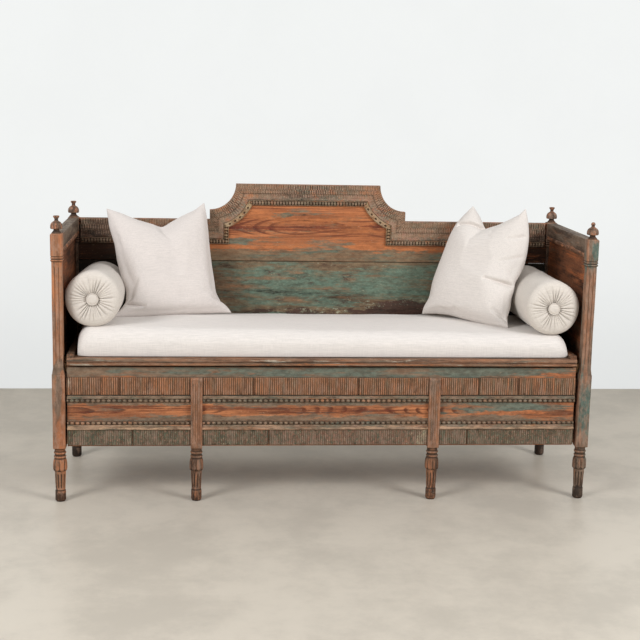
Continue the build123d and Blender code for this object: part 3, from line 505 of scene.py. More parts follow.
whole_rear = ((0.0, 0.2945, 0.6), (9.0, 0.014, 9.0), 0.8)
rear_coats = (
    ((136, 104, 80), 0.9, 0.95, (14, 2), whole_rear),
    ((98, 80, 64), 1.3, 0.75, (18, 2), whole_rear),
    ((170, 134, 104), 1.36, 0.6, (24, 2), whole_rear),
)
crest_coats = (
    ((138, 82, 54), 0.52, 0.5, (24, 1.6), on_back(0.1, 0.86, 0.4, 0.03, 0.05)),
    ((202, 124, 74), 0.56, 0.6, (34, 2.0),
     on_back(0.0, 0.945, 0.34, 0.02, 0.08), on_back(0.1, 0.82, 0.5, 0.02, 0.08)),
    ((112, 50, 38), 0.66, 0.8, (90, 1.8),
     on_back(-0.16, 0.905, 0.3, 0.016, 0.2), on_back(0.3, 0.915, 0.12, 0.012, 0.18)),
    ((122, 112, 90), 0.6, 0.8, (26, 3),
     on_back(0.0, 0.788, 0.8, 0.036, 0.26), on_back(-0.125, 0.95, 0.03, 0.012, 0.24)),
    ((100, 120, 106), 0.64, 0.75, (26, 4),
     on_back(-0.29, 0.852, 0.05, 0.013, 0.36), on_back(0.02, 0.84, 0.12, 0.03, 0.16),
     on_back(0.25, 0.8, 0.5, 0.025, 0.12)),
    (UMBER, 0.7, 0.5, (30, 3)),
    # painted shade: both ends of the plank near black, where the arms shade them
    (BLACK_BROWN, 0.64, 0.9, (10, 2),
     on_back(-0.84, 0.8, 0.15, 0.2, 0.22), on_back(0.86, 0.8, 0.12, 0.2, 0.22)),
)
crest_pine = {"light": (192, 120, 76), "dark": (110, 60, 40), "heart": 0.905, "flame": 0.045}
crest_finish = worn_pine("crest_plank", "x", 81.0, crest_coats + rear_coats, worn=0.0, **crest_pine)
dress("back_upper_board", crest_finish)
seat_coats = (
    ((128, 114, 90), 0.36, 0.85, (14, 2.5)),
    ((104, 78, 58), 0.54, 0.8, (24, 3), on_back(-0.42, 0.7, 0.14, 0.14, 0.1)),
    ((104, 134, 118), 0.53, 0.75, (24, 3),
     on_back(0.1, 0.68, 0.36, 0.05, 0.13), on_back(0.28, 0.73, 0.22, 0.03, 0.1),
     on_back(-0.2, 0.63, 0.1, 0.02, 0.1)),
    ((164, 120, 88), 0.61, 0.7, (30, 5), on_back(-0.2, 0.7, 0.2, 0.05, 0.06)),
    ((82, 56, 50), 0.63, 0.85, (30, 12),
     on_back(0.36, 0.6, 0.16, 0.032, 0.3), on_back(0.0, 0.578, 0.5, 0.014, 0.18)),
    ((186, 186, 158), 0.67, 0.85, (90, 60),
     on_back(-0.02, 0.582, 0.2, 0.009, 0.12), on_back(0.2, 0.612, 0.09, 0.016, 0.11),
     on_back(0.37, 0.63, 0.09, 0.01, 0.1)),
    # painted shade: both ends of the plank near black, where the arms shade them
    (BLACK_BROWN, 0.6, 0.9, (10, 2),
     on_back(-0.84, 0.65, 0.26, 0.3, 0.25), on_back(0.84, 0.65, 0.2, 0.3, 0.25)),
)
seat_pine = {"light": (168, 122, 90), "dark": (108, 74, 54), "heart": 0.66}
seat_finish = worn_pine("seat_back_plank", "x", 83.0, seat_coats + rear_coats, worn=0.0, **seat_pine)
dress("back_lower_board", seat_finish)
turn = circle(12)
tongue_section = np.stack([274.5 + 4 * np.cos(turn), 775.5 + 2.6 * np.sin(turn)], -1)
tongue = skin([np.insert(tongue_section, 0, x, 1) for x in (-915.0, 0.0, 836.0)])
carve("back_joint_tongue", [tongue], seat_finish, "frame", "painted_pine")
box_coats = ((GREY_BROWN, 0.5, 0.8, (14, 3)), (UMBER, 0.55, 0.8, (14, 3)))
box_finish = worn_pine("box_back_plank", "x", 85.0, box_coats + rear_coats, heart=0.33)
dress("back_box_board", box_finish)

# ----------------------------------- carved border of the back
# Frieze of five mitred lengths along the crest, round the two hollow scrolls and out to the posts:
# three tiers cut across in V notches, with narrow grooves between. A moulding follows its inner
# edge, with raised beads on the straights and a pale strip with oval pits round the scrolls.

crest_middle = -33.0
crest_half = 275.5
scroll_radius = 99.5
ear_half = crest_half + scroll_radius
level_top = 934.0
crest_top = level_top + 36.5 + scroll_radius
frieze_widths = np.array((60.0, 61.0, 53.0, 73.0))
bead_width = 20.0
level_end = 893.0
back_face = 264.5


def border_path(name, insets):
    """Points of a border line in x and z, about 0.95 mm apart, and the distance along it.

    The insets are below the crest, round the scroll, beside the ear and below the level top. The
    scroll is a quarter round about the crest's missing corner: its angle runs from where the crest
    line cuts it to where the ear's does.
    """
    below_crest, round_scroll, beside_ear, below_level = insets
    sign = -1 if "left" in name else 1
    scroll = scroll_radius + round_scroll
    first = np.arcsin(below_crest / scroll)
    last = np.pi / 2 - np.arcsin(beside_ear / scroll)
    crest_x = ear_half - scroll * np.cos(first)
    middle_radius = 130
    if "crest" in name:
        x = along = np.linspace(-crest_x, crest_x, 580) + crest_middle
        z = np.full(580, crest_top - below_crest)
    elif "scroll" in name:
        angle = np.linspace(first, last, 210)
        ear_z = np.linspace(crest_top - scroll * np.sin(last), level_top - below_level, 80)
        out = np.concatenate([ear_half - scroll * np.cos(angle), np.full(80, ear_half - beside_ear)])
        x = out * sign + crest_middle
        z = np.concatenate([crest_top - scroll * np.sin(angle), ear_z])
        along = np.concatenate([angle * middle_radius, ear_z])
    else:
        out = np.linspace(ear_half - beside_ear, level_end - sign * crest_middle, 620)
        x = along = out * sign + crest_middle
        z = np.full(620, level_top - below_level)
    return np.stack([x, z], -1), along


def border_skin(name, outer, inner, shares, relief):
    """Length of border between two lines: the height over the plank is a function of the share of the
    width crossed and of the distance along the length."""
    outer_line, outer_along = border_path(name, outer)
    inner_line, inner_along = border_path(name, inner)
    share = shares[None, :, None]
    line = outer_line[:, None] * (1 - share) + inner_line[:, None] * share
    along = outer_along[:, None] * (1 - shares) + inner_along[:, None] * shares
    height, hollow = relief(shares[None], along)
    face = np.stack([line[..., 0], back_face - height, line[..., 1]], -1)
    back = face[:, [-1, 0]] * (1, 0, 1) + (0, back_face, 0)
    # the flat back, and the edges that run to it, are marked hollow and darkened as painted shade
    return skin(np.concatenate([face, back], 1), np.pad(hollow, ((0, 0), (0, 2)), constant_values=0.5))


def valley(along, pitch, width):
    """How deep a point lies in a row of narrow V cuts, 1 at a cut and 0 beyond half its width."""
    offset = np.abs((along / pitch + 0.5) % 1 - 0.5) * pitch
    return unit(1 - offset / (width / 2))


def frieze_relief(share, along):
    """Three tiers of the frieze between narrow grooves, each cut across in V notches: the middle
    tier's notches stand between those of the outer one, and the inner tier's are shallow."""
    notch_pitch, notch_width, notch_depth = 9.2, 6.2, 3.4
    tiers = (0, 0.02, 0.05, 0.31, 0.325, 0.345, 0.57, 0.585, 0.605, 0.62, 0.95, 1)
    height = np.interp(share, tiers, (6.5, 8.6, 9, 9, 7.8, 8.6, 8.6, 6.9, 7.0, 8.4, 8.2, 6.5))
    cuts = (0.02, 0.05, 0.3, 0.33, 0.35, 0.56, 0.59, 0.64, 0.86, 0.95)
    deep = np.interp(share, cuts, (0, 1, 1, 0.2, 0.95, 0.95, 0.2, 0.7, 0.55, 0))
    grooves = (0.02, 0.3, 0.325, 0.35, 0.56, 0.585, 0.605, 0.63, 0.96, 1)
    sunk = np.interp(share, grooves, (0, 0, 0.3, 0, 0, 0.4, 0.4, 0, 0, 0.6))
    shift = np.where(share < 0.325, 0, np.where(share < 0.59, notch_pitch / 2, 1.8))
    chip = 0.74 + 0.26 * np.sin(along * 0.31 + 5 * share) * np.sin(along * 0.083 + 2)
    cut = valley(along + shift + 0.8 * np.sin(along * 0.047), notch_pitch, notch_width) * deep * chip
    return height - notch_depth * cut, unit(1.2 * cut + sunk)


def raised_beads(share, along):
    """Row of half-round beads 11.5 mm apart between two fillets."""
    pitch, half_width = 11.5, 0.34
    crossing = np.clip((share - 0.5) / half_width, -1, 1)
    run = unit(np.abs((along / pitch + 0.5) % 1 - 0.5) / 0.44)
    bead = np.sqrt(unit(1 - crossing**2 - run**2))
    fillets = np.interp(share, (0, 0.06, 0.14, 0.86, 0.93, 1), (7, 9.5, 9.5, 9.5, 9.5, 5))
    in_row = np.abs(share - 0.5) < half_width
    return np.where(in_row, 5.2 + 6.6 * bead, fillets), np.where(in_row, 1 - unit(1.6 * bead), 0.15)


def pitted_strip(share, along):
    """Strip rounded across, with an oval pit every 18 mm round the scroll and beads down the ear."""
    crossing = (share - 0.5) / 0.19
    run = np.abs((along / 18 + 0.5) % 1 - 0.5) / 0.22
    pit = unit(1.2 - crossing**2 - run**2)
    crown = np.interp(share, (0, 0.08, 0.2, 0.5, 0.8, 0.92, 1), (6, 9.6, 11.2, 11.8, 11.2, 9.6, 5))
    beads, between = raised_beads(share, along)
    hollow = unit(1.3 * pit)
    on_scroll = along < 500
    return np.where(on_scroll, crown - 4.2 * pit, beads), np.where(on_scroll, hollow, between)


frieze_shares = np.array(
    [0, 0.02, 0.05, 0.15, 0.25, 0.31, 0.325, 0.345, 0.4, 0.5, 0.57, 0.585, 0.605, 0.62, 0.7, 0.8, 0.9,
     0.95, 1]
)
bead_shares = np.linspace(0, 1, 17)
frieze_coats = (
    ((150, 132, 112), 0.36, 0.9, (22, 14)),
    ((108, 112, 96), 0.5, 0.75, (30, 16)),
    ((168, 122, 104), 0.54, 0.75, (60, 34)),
    ((192, 118, 76), 0.56, 0.75, (60, 34), on_back(0.0, 0.985, 0.3, 0.016, 0.06)),
    ((74, 82, 70), 0.6, 0.7, (26, 8), on_back(0.08, 1.01, 0.08, 0.05, 0.12)),
    ((70, 56, 44), 0.58, 0.75, (190, 150)),
    ((216, 202, 174), 0.62, 0.8, (210, 160)),
    (UMBER, 0.62, 0.6, (36, 20)),
    # painted shade: both ends of the frieze near black, where the arms shade it
    (BLACK_BROWN, 0.62, 0.85, (12, 4),
     on_back(-0.84, 0.86, 0.13, 0.2, 0.16), on_back(0.88, 0.86, 0.1, 0.2, 0.12)),
)
bead_coats = (
    ((118, 114, 96), 0.4, 0.85, (40, 30)),
    ((186, 170, 138), 0.57, 0.8, (70, 60)),
    (UMBER, 0.58, 0.8, (40, 30)),
)
scroll_middles = [((crest_middle + side * 255) / 1000, 0.26, 0.95) for side in (-1, 1)]
pale_coats = (
    ((110, 106, 88), 0.4, 0.85, (40, 30)),
    ((184, 156, 118), 0.68, 0.85, (50, 30),
     *[(middle, (0.1, 0.1, 0.09), 0.4) for middle in scroll_middles]),
    ((158, 108, 74), 0.5, 0.7, (80, 60)),
    (UMBER, 0.58, 0.7, (90, 70)),
)
frieze_finish = worn_pine("frieze_paint", "x", 91.0, frieze_coats, carved=True)
straight_bead_finish = worn_pine("straight_bead_paint", "x", 93.0, bead_coats, carved=True)
scroll_bead_finish = worn_pine("scroll_bead_paint", "x", 95.0, pale_coats, light=(200, 160, 110), carved=True)
for name in ("crest", "left_scroll", "right_scroll", "left_level", "right_level"):
    frieze = border_skin(name, np.zeros(4), frieze_widths, frieze_shares, frieze_relief)
    relief, bead_finish = raised_beads, straight_bead_finish
    if "scroll" in name:
        relief, bead_finish = pitted_strip, scroll_bead_finish
    bead = border_skin(name, frieze_widths, frieze_widths + bead_width, bead_shares, relief)
    carve(f"carved_{name}_frieze", [frieze], frieze_finish, "frame", "carved_pine", f"{name}_frieze")
    carve(f"carved_{name}_bead", [bead], bead_finish, "frame", "carved_pine", f"{name}_bead")

# -------------------------------------------- fixed bed bottom
# Bare sawn pine, never painted: the ledgers nailed to arms and back, the stretcher tenoned into
# the low rails, and the comb of fixed slats that the sliding slats run between.

bare_coats = ((UMBER, 0.62, 0.5, (12, 3)),)
sawn_pine = {"light": (176, 138, 98), "dark": (132, 98, 66), "heart": 0.24}
bare_pine = worn_pine("bare_pine", "x", 101.0, bare_coats, **sawn_pine)
bare_slats = worn_pine("bare_slats", "y", 103.0, bare_coats, **sawn_pine)
for name in ("lid_ledgers", "fixed_slats"):
    dress(name, bare_slats)
for name in ("front_stretcher", "back_slat_ledger"):
    dress(name, bare_pine)

# ---------------------------------------------- pull-out front
# Two planks glued edge to edge, on two legs of their own. A grooved pilaster stands over each
# leg. The panels between the mouldings show orange pine with a dark flame figure on the left and
# in the middle, and blue-green paint on the right.


def on_front(x, z, reach_x, reach_z, weight, y=-0.28):
    """Patch of a coat on the face of the front."""
    return (x, y, z), (reach_x, 0.1, reach_z), weight


apron_coats = (
    ((138, 86, 60), 0.5, 0.6, (40, 2)),
    ((110, 52, 36), 0.66, 0.7, (130, 2.4),
     on_front(-0.68, 0.33, 0.3, 0.02, 0.14), on_front(0.0, 0.328, 0.45, 0.02, 0.14)),
    ((122, 114, 98), 0.6, 0.8, (34, 4),
     on_front(-0.1, 0.465, 1.0, 0.034, 0.34), on_front(0.65, 0.33, 0.22, 0.034, 0.16),
     on_front(-0.2, 0.291, 0.95, 0.018, 0.24), on_front(-0.2, 0.353, 0.95, 0.011, 0.22)),
    ((106, 122, 110), 0.62, 0.75, (34, 4.5),
     on_front(0.1, 0.465, 0.95, 0.03, 0.14), on_front(0.64, 0.338, 0.25, 0.022, 0.18),
     on_front(0.5, 0.466, 0.2, 0.02, 0.12)),
    ((192, 116, 72), 0.64, 0.8, (40, 8),
     on_front(0.83, 0.452, 0.06, 0.011, 0.3), on_front(0.66, 0.316, 0.16, 0.008, 0.2)),
    (UMBER, 0.62, 0.6, (70, 14)),
)
apron_pine = {"light": (198, 128, 84), "dark": (98, 56, 36), "heart": 0.326, "flame": 0.016}
apron_finish = worn_pine("apron_planks", "x", 111.0, apron_coats, **apron_pine)
dress("apron_upper_board", apron_finish)
dress("apron_lower_board", apron_finish)


def upright(across, out, z):
    """Points of a surface that looks forwards, one row for each height z: x and y over that height."""
    rows, size = out.shape
    return np.stack([np.tile(across, (rows, 1)), out, np.repeat(z[:, None], size, 1)], -1)


def pilaster_skin(x):
    """Flat bar over a leg: four V grooves 8 mm apart run up its face between z 214 and 427."""
    across = np.concatenate([[-20, -19.4, -18], np.arange(-15, 15.1, 1), [18, 19.4, 20]])
    z = np.array((192, 193, 212, 215, 218, 300, 380, 422, 425, 428, 438, 440.5, 443), float)
    top = np.interp(z, (192, 193, 438, 443), (0.6, 0, 0, 5))
    window = np.interp(z, (213, 217, 424, 428), (0, 1, 1, 0))
    groove = unit(1 - np.abs((across + 16) % 8 - 4) / 1.9) * (np.abs(across) < 15)
    arris = np.interp(np.abs(across), (18.6, 20), (0, 1.2))
    depth = window[:, None] * groove * 1.6 + arris + top[:, None]
    face = upright(x + across, -294.5 + depth, z)
    rear = upright(x + across[[-1, 0]], np.full((len(z), 2), -280.7), z)
    return skin(np.concatenate([face, rear], 1), np.pad(0.5 * window[:, None] * groove, ((0, 0), (0, 2))))


def leg_block_skin(x):
    """Square shoulder of the leg under the plank, 40 mm a side and 6 high."""
    corners = np.array([(-20, -280.7), (20, -280.7), (20, -254.5), (-20, -254.5)])
    return skin([np.column_stack([corners + (x, 0), np.full(4, z)]) for z in (192.0, 198.0)])


middle_legs = {"left": -449.5, "right": 383.5}
for number, (side, x) in enumerate(middle_legs.items()):
    leg_coats = (
        ((142, 102, 76), 0.44, 0.75, (36, 5)),
        (GREY_BROWN, 0.56, 0.75, (36, 6), ((x / 1000, -0.28, 0.43), (0.05, 0.05, 0.04), 0.1)),
        (UMBER, 0.58, 0.75, (40, 6), ((x / 1000, -0.28, 0.1), (0.05, 0.05, 0.09), 0.1)),
        (BLACK_BROWN, 0.68, 0.85, (30, 20),
         ((x / 1000, -0.28, 0.0), (0.1, 0.1, 0.06), 0.2), ((x / 1000, -0.28, 0.13), (0.1, 0.1, 0.06), 0.1)),
        ((200, 196, 184), 0.74, 0.9, (90, 70), ((x / 1000, -0.3, 0.03), (0.03, 0.05, 0.04), 0.09)),
    )
    finish = worn_pine(
        f"{side}_middle_leg", "z", 121.0 + number, leg_coats, light=(168, 112, 78), carved=True
    )
    skins = [leg_skin(x, -post_y), leg_block_skin(x), pilaster_skin(x)]
    carve(f"worn_{side}_middle_leg", skins, finish, "pull_out", "painted_pine", f"{side}_middle_leg")

# ------------------------------------------------ fluted bands
# Two bands of upright reeds, cut with a moulding plane across short lengths that are nailed on
# end to end, so the joints show. Single reeds are chipped at their ends; the cuts are darkened with dirt and
# painted shade.

pull_out_left, pull_out_right = -892.5, 886.5
bays = ((pull_out_left, -470.0), (-429.0, 363.0), (404.0, pull_out_right))
apron_face = -280.5
band_thickness = 8


def front_skin(x, out, z, hollow):
    """Closed skin of a strip on the front: how far it stands out over x and z, and its flat back."""
    face = np.stack([np.repeat(x[:, None], len(z), 1), apron_face - out, np.tile(z, (len(x), 1))], -1)
    rear = face[:, [-1, 0]] * (1, 0, 1) + (0, apron_face - 0.05, 0)
    # the flat back, and the edges that run to it, are marked hollow and darkened as painted shade
    return skin(np.concatenate([face, rear], 1), np.pad(hollow, ((0, 0), (0, 2)), constant_values=0.8))


def reeded_skin(start, end, low, high, soft):
    """One length of band: flat reeds 7.4 mm apart with V cuts between them, in eight steps a reed.

    The front sinks by up to 2.6 mm in the cuts and by a chance amount on each reed; a reed marked
    as chipped loses its face near one end.
    """
    pitch = 7.4
    count = int((end - start) / pitch)
    first = (start + end - count * pitch) / 2
    steps = np.array((0.0, 0.1, 0.2, 0.35, 0.5, 0.65, 0.8, 0.9))
    reeds = first + pitch * (np.arange(count)[:, None] + steps)
    x = np.concatenate([[start], reeds.ravel(), [first + pitch * count, end]])
    reed = np.clip(((x - first) // pitch).astype(int), 0, count - 1)
    lift = chance.uniform(0, 0.5, count)[reed]
    cut = valley(x - first, pitch, 3.4 - soft)
    chipped = (chance.uniform(0, 1, count) < 0.07)[reed]
    chip_top = (chance.uniform(0, 1, count) < 0.5)[reed]
    z = np.array([low, low + 1.2, low + 4, *np.linspace(low + 8, high - 8, 5), high - 4, high - 1.2, high])
    share = ((z - low) / (high - low))[:, None]
    arris = np.interp(share, (0, 0.02, 0.98, 1), (1.6, 0, 0, 1.6))
    loss = chipped * np.where(chip_top, unit(share * 4 - 3), unit(1 - 4 * share))
    depth = (cut * (2.4 - 0.8 * soft) + lift + 1.8 * loss + arris).T
    hollow = unit(cut[:, None] * (1 - 0.5 * soft) + 0.4 * loss.T + 0.2 * (arris > 1).T)
    return front_skin(x, band_thickness - depth, z, hollow)


def band_skins(low, high, joints, soft):
    """All lengths of one band, cut at the bays and at the joints."""
    half_joint = 1.3
    skins = []
    for left, right in bays:
        cuts = [joint for joint in joints if left < joint < right]
        edges = [left] + [cut + side * half_joint for cut in cuts for side in (-1, 1)] + [right]
        skins += [reeded_skin(start, end, low, high, soft) for start, end in zip(edges[::2], edges[1::2])]
    return skins


upper_joints = [-3 + share * 889.5 for share in (-0.80, -0.28, 0.13, 0.61, 0.77)]
lower_joints = [-3 + share * 889.5 for share in (-0.75, -0.22, 0.57)]
upper_band_coats = (
    ((140, 104, 78), 0.44, 0.75, (40, 8)),
    ((112, 106, 86), 0.55, 0.75, (90, 8), on_front(0.7, 0.41, 0.3, 0.1, 0.05, -0.29)),
    ((182, 120, 80), 0.58, 0.7, (120, 8), on_front(-0.6, 0.41, 0.4, 0.1, 0.04, -0.29)),
    (UMBER, 0.6, 0.7, (60, 14)),
    (CREAM, 0.72, 0.8, (120, 20), on_front(-0.885, 0.42, 0.016, 0.03, 0.2, -0.29)),
)
lower_band_coats = (
    ((98, 90, 74), 0.36, 0.9, (30, 14)),
    ((76, 94, 78), 0.46, 0.8, (70, 50), on_front(-0.75, 0.23, 0.25, 0.1, 0.06, -0.29)),
    ((158, 112, 94), 0.54, 0.75, (110, 90), on_front(0.1, 0.23, 0.3, 0.1, 0.05, -0.29)),
    (UMBER, 0.58, 0.7, (60, 40)),
    ((186, 174, 144), 0.61, 0.75, (170, 130), on_front(0.34, 0.23, 0.02, 0.03, 0.16, -0.29)),
)
upper_pine = {"light": (172, 114, 78), "dark": (112, 66, 44)}
upper_finish = worn_pine("upper_band_paint", "z", 131.0, upper_band_coats, carved=True, **upper_pine)
lower_pine = {"light": (156, 108, 76), "dark": (104, 66, 46)}
lower_finish = worn_pine("lower_band_paint", "z", 133.0, lower_band_coats, carved=True, **lower_pine)
upper_band = band_skins(382, 443, upper_joints, 0.0)
carve("reeded_upper_band", upper_band, upper_finish, "pull_out", "carved_pine", "upper_fluted_band")
lower_band = band_skins(202, 258, lower_joints, 0.8)
carve("reeded_lower_band", lower_band, lower_finish, "pull_out", "carved_pine", "lower_fluted_band")

# ------------------------------------ bead and ledge mouldings
# Planed mouldings nailed across each bay: above the panels a row of carved beads under a fillet
# and a hollow, below them a worn ledge, a fillet and another row of beads, 18 mm apart.


def moulding_skin(start, end, profile, bead_low):
    """Moulding across one bay: a profile of projection over z, carried along x. On its flat at
    bead_low stand beads 12 mm high and 14.4 long, each half an ellipsoid, 18 mm apart."""
    pitch, half_length, half_height, rise = 18, 7.2, 6, 6.4
    x = np.arange(start, end + 0.1, (end - start) / round((end - start) / 1.5))
    z, out = np.array(profile, float).T
    beside = (((x + 3) / pitch) % 1 - 0.5)[:, None] * pitch / half_length
    above = (z - bead_low - half_height) / half_height
    in_row = (z > bead_low + 0.1) & (z < bead_low + 2 * half_height - 0.1)
    bead = np.where(in_row, rise * np.sqrt(unit(1 - above**2 - beside**2)), 0)
    # the flats sunk behind the beads and the step under the band are marked 0.9 hollow, darkened as painted
    # shade
    hollow = np.where(in_row, 1 - unit(bead / 4.5), np.where(out < 4.5, 0.9, 0.05))
    return front_skin(x, out + bead, z, hollow)


def bead_rows(low):
    """Nine heights across a bead row, all at the backing's projection."""
    return [(low + 6 - 6 * np.cos(angle), 3.0) for angle in np.linspace(0, np.pi, 9)]


upper_row, lower_row = 355, 275.1
fillet = [(367.2, 7.4), (368, 8), (374, 8), (376.4, 7.6), (377, 5), (379, 4), (382, 4)]
ledge = [(258.1, 11), (259.3, 12.6), (262, 13), (265.5, 12.4), (266.8, 11), (267.2, 8), (273.5, 8)]
ledge += [(274.8, 7.2)]
moulding_coats = (
    ((122, 114, 96), 0.38, 0.85, (36, 6)),
    ((94, 104, 92), 0.52, 0.75, (36, 8), on_front(0.6, 0.32, 0.4, 0.1, 0.04, -0.29)),
    ((160, 110, 78), 0.6, 0.7, (50, 8)),
    (UMBER, 0.58, 0.75, (50, 20)),
)
ledge_coats = (
    ((114, 104, 86), 0.42, 0.85, (36, 6)),
    ((94, 104, 92), 0.54, 0.75, (36, 8), on_front(0.3, 0.28, 0.6, 0.01, 0.06, -0.29)),
    ((196, 160, 128), 0.62, 0.8, (60, 6), ((0.0, -0.295, 0.262), (2.0, 0.03, 0.0075), 0.16)),
    (UMBER, 0.6, 0.75, (50, 20)),
)
planed_pine = {"light": (176, 116, 78), "carved": True}
moulding_finish = worn_pine("bead_moulding_paint", "x", 141.0, moulding_coats, **planed_pine)
ledge_finish = worn_pine("ledge_moulding_paint", "x", 143.0, ledge_coats, **planed_pine)
upper = [moulding_skin(*bay, bead_rows(upper_row) + fillet, upper_row) for bay in bays]
lower = [moulding_skin(*bay, ledge + bead_rows(lower_row), lower_row) for bay in bays]
carve("carved_upper_moulding", upper, moulding_finish, "pull_out", "carved_pine", "upper_bead_moulding")
carve("carved_lower_moulding", lower, ledge_finish, "pull_out", "carved_pine", "lower_ledge_moulding")

# ----------------------------------------------- sliding slats
# Bare pine like the fixed slats: the second comb, its batten and blocks, the ledger behind the
# front and the two box sides all travel with the front.

for name in ("moving_slats", "batten_blocks", "left_box_side", "right_box_side"):
    dress(name, bare_slats)
for name in ("sliding_batten", "apron_slat_ledger"):
    dress(name, bare_pine)

# ---------------------------------------------------- seat lid
# Loose lid of two boards with a grooved front strip, two end cleats and two battens below. The
# strip is rubbed red-brown with pinkish and cream remains of paint along its lower lip.

lid_coats = (
    ((140, 112, 92), 0.4, 0.8, (50, 3)),
    ((116, 112, 98), 0.56, 0.75, (60, 4)),
    (UMBER, 0.54, 0.8, (60, 5)),
    ((186, 116, 70), 0.64, 0.75, (120, 5), ((0.0, -0.3, 0.4885), (0.95, 0.03, 0.003), 0.14)),
    ((204, 196, 178), 0.64, 0.85, (110, 16),
     ((-0.83, -0.3, 0.489), (0.07, 0.03, 0.006), 0.2), ((-0.2, -0.3, 0.505), (0.1, 0.03, 0.008), 0.1),
     ((0.35, -0.3, 0.5), (0.2, 0.03, 0.008), 0.05)),
)
strip_pine = {"light": (180, 116, 76), "dark": (116, 66, 44), "heart": 0.45}
dress("lid_edge_moulding", worn_pine("lid_edge_paint", "x", 151.0, lid_coats, **strip_pine))
plain_lid_coats = ((GREY_BROWN, 0.46, 0.8, (16, 3)), (UMBER, 0.5, 0.8, (16, 3)))
dress("lid_boards", worn_pine("lid_boards", "x", 153.0, plain_lid_coats, heart=0.5))
dress("lid_cleats", worn_pine("lid_cleats", "y", 155.0, plain_lid_coats, heart=0.5))
dress("lid_battens", bare_slats)

# ---------------------------------------------------- mattress
# Soft mattress in a cover of washed linen, lying on the lid between its cleats. It is plumper at
# the left end, slopes off towards the back and has a wide round front edge and no piping.


def linen(name, turn=(0.0, 0.0, 0.0), tint=(228, 222, 217)):
    """Washed linen: thick and thin yarns both ways as long thin noise, on the piece's own axes."""
    finish = Finish(name)
    finish.place = finish.node("ShaderNodeMapping", (), {"Vector": finish.place, "Rotation": turn})
    weft = finish.noise((30.0, 700.0, 700.0), 2.0, 0.7, 1.0)
    warp = finish.noise((700.0, 300.0, 30.0), 2.0, 0.7, 2.0)
    slub = finish.noise((14.0, 260.0, 260.0), 2.0, 0.6, 3.0)
    cloud = finish.noise((5.0, 5.0, 5.0), 3.0, 0.6, 4.0)
    yarn = weft * 0.45 + warp * 0.3 + slub * 0.25
    pale = finish.cover(finish.rise(yarn, 0.38, 0.62), shade(tint, 0.93), shade(tint))
    colour = finish.cover(finish.rise(cloud, 0.4, 0.7) * 0.25, pale, shade(tint, 0.95))
    # painted shade: darker in the pleats of the bolster ends, by the hollow mark
    colour = finish.cover(finish.mark("hollow") * 0.4, colour, shade(tint, 0.6))
    weave = {"Strength": 0.35, "Distance": 0.0008, "Height": yarn}
    bump = finish.node("ShaderNodeBump", (), weave)
    finish.feed(Base_Color=colour, Roughness=0.9, Specular_IOR_Level=0.15, Normal=bump)
    finish.feed(Sheen_Weight=0.15, Sheen_Roughness=0.5)
    return finish.material


def mattress_skin():
    """Slab of outlines across, set along x: sharp below, round above, with quarter-round ends.

    The height over x falls from 100 to 76 mm at the front and is 72 mm at the back; towards the
    back it eases from the one to the other. Long shallow waves keep the top from being flat.
    """
    left, right, front, back, bottom, round_end = -858.0, 862.0, -273.0, 213.0, 512.6, 50.0
    turn = np.linspace(0, np.pi / 2, 14)
    over = np.stack([-np.cos(turn), np.sin(turn) - 1], -1)
    front_round = over * (56, 50) + (front + 56, 0)
    back_round = (over * (-40, 40))[::-1] + (back - 40, 0)
    flat = np.column_stack([np.linspace(front + 62, back - 46, 40), np.zeros(40)])
    upper = np.concatenate([front_round, flat, back_round])
    from_end = round_end * (1 - np.cos(turn))
    middle = np.linspace(left + round_end, right - round_end, 150)[1:-1]
    x = np.concatenate([left + from_end, middle, (right - from_end)[::-1]])
    depth = unit(1 - np.minimum(x - left, right - x) / round_end)
    drop = (round_end * (1 - np.sqrt(1 - depth**2)))[:, None]
    y = upper[:, 0] * (1 - drop / 600) - drop * 0.06
    full = np.interp(x, (left, -330, 0, 400, right), (100, 93, 89, 85, 76))[:, None]
    ease = unit((back - upper[:, 0]) / 215)
    high = 72 + (full - 72) * ease**2 * (3 - 2 * ease)
    wave = 1.0 * np.sin(x[:, None] / 83 + 1) * np.sin(upper[:, 0] / 61 + 1) + 0.5 * np.sin(x / 31)[:, None]
    z = bottom + np.maximum(high + upper[:, 1] * high / 88 - drop + wave, 6)
    heel = np.array([(back, 6), (back - 3, 1.5), (back - 8, 0), (front + 8, 0), (front + 2, 1.5), (front, 6)])
    y = np.concatenate([y, heel[:, 0] * (1 - drop / 600)], 1)
    z = np.concatenate([z, np.tile(bottom + heel[:, 1], (len(x), 1))], 1)
    return skin(np.stack([np.repeat(x[:, None], y.shape[1], 1), y, z], -1))


mattress_linen = linen("mattress_linen")
mattress = carve("linen_mattress", [mattress_skin()], mattress_linen, "mattress", "linen", "mattress")

# ---------------------------------------------------- bolsters
# Two round bolsters lying front to back and sloping with the mattress, each 470 mm long. Their
# ends are gathered in uneven pleats under a button covered in the same linen.


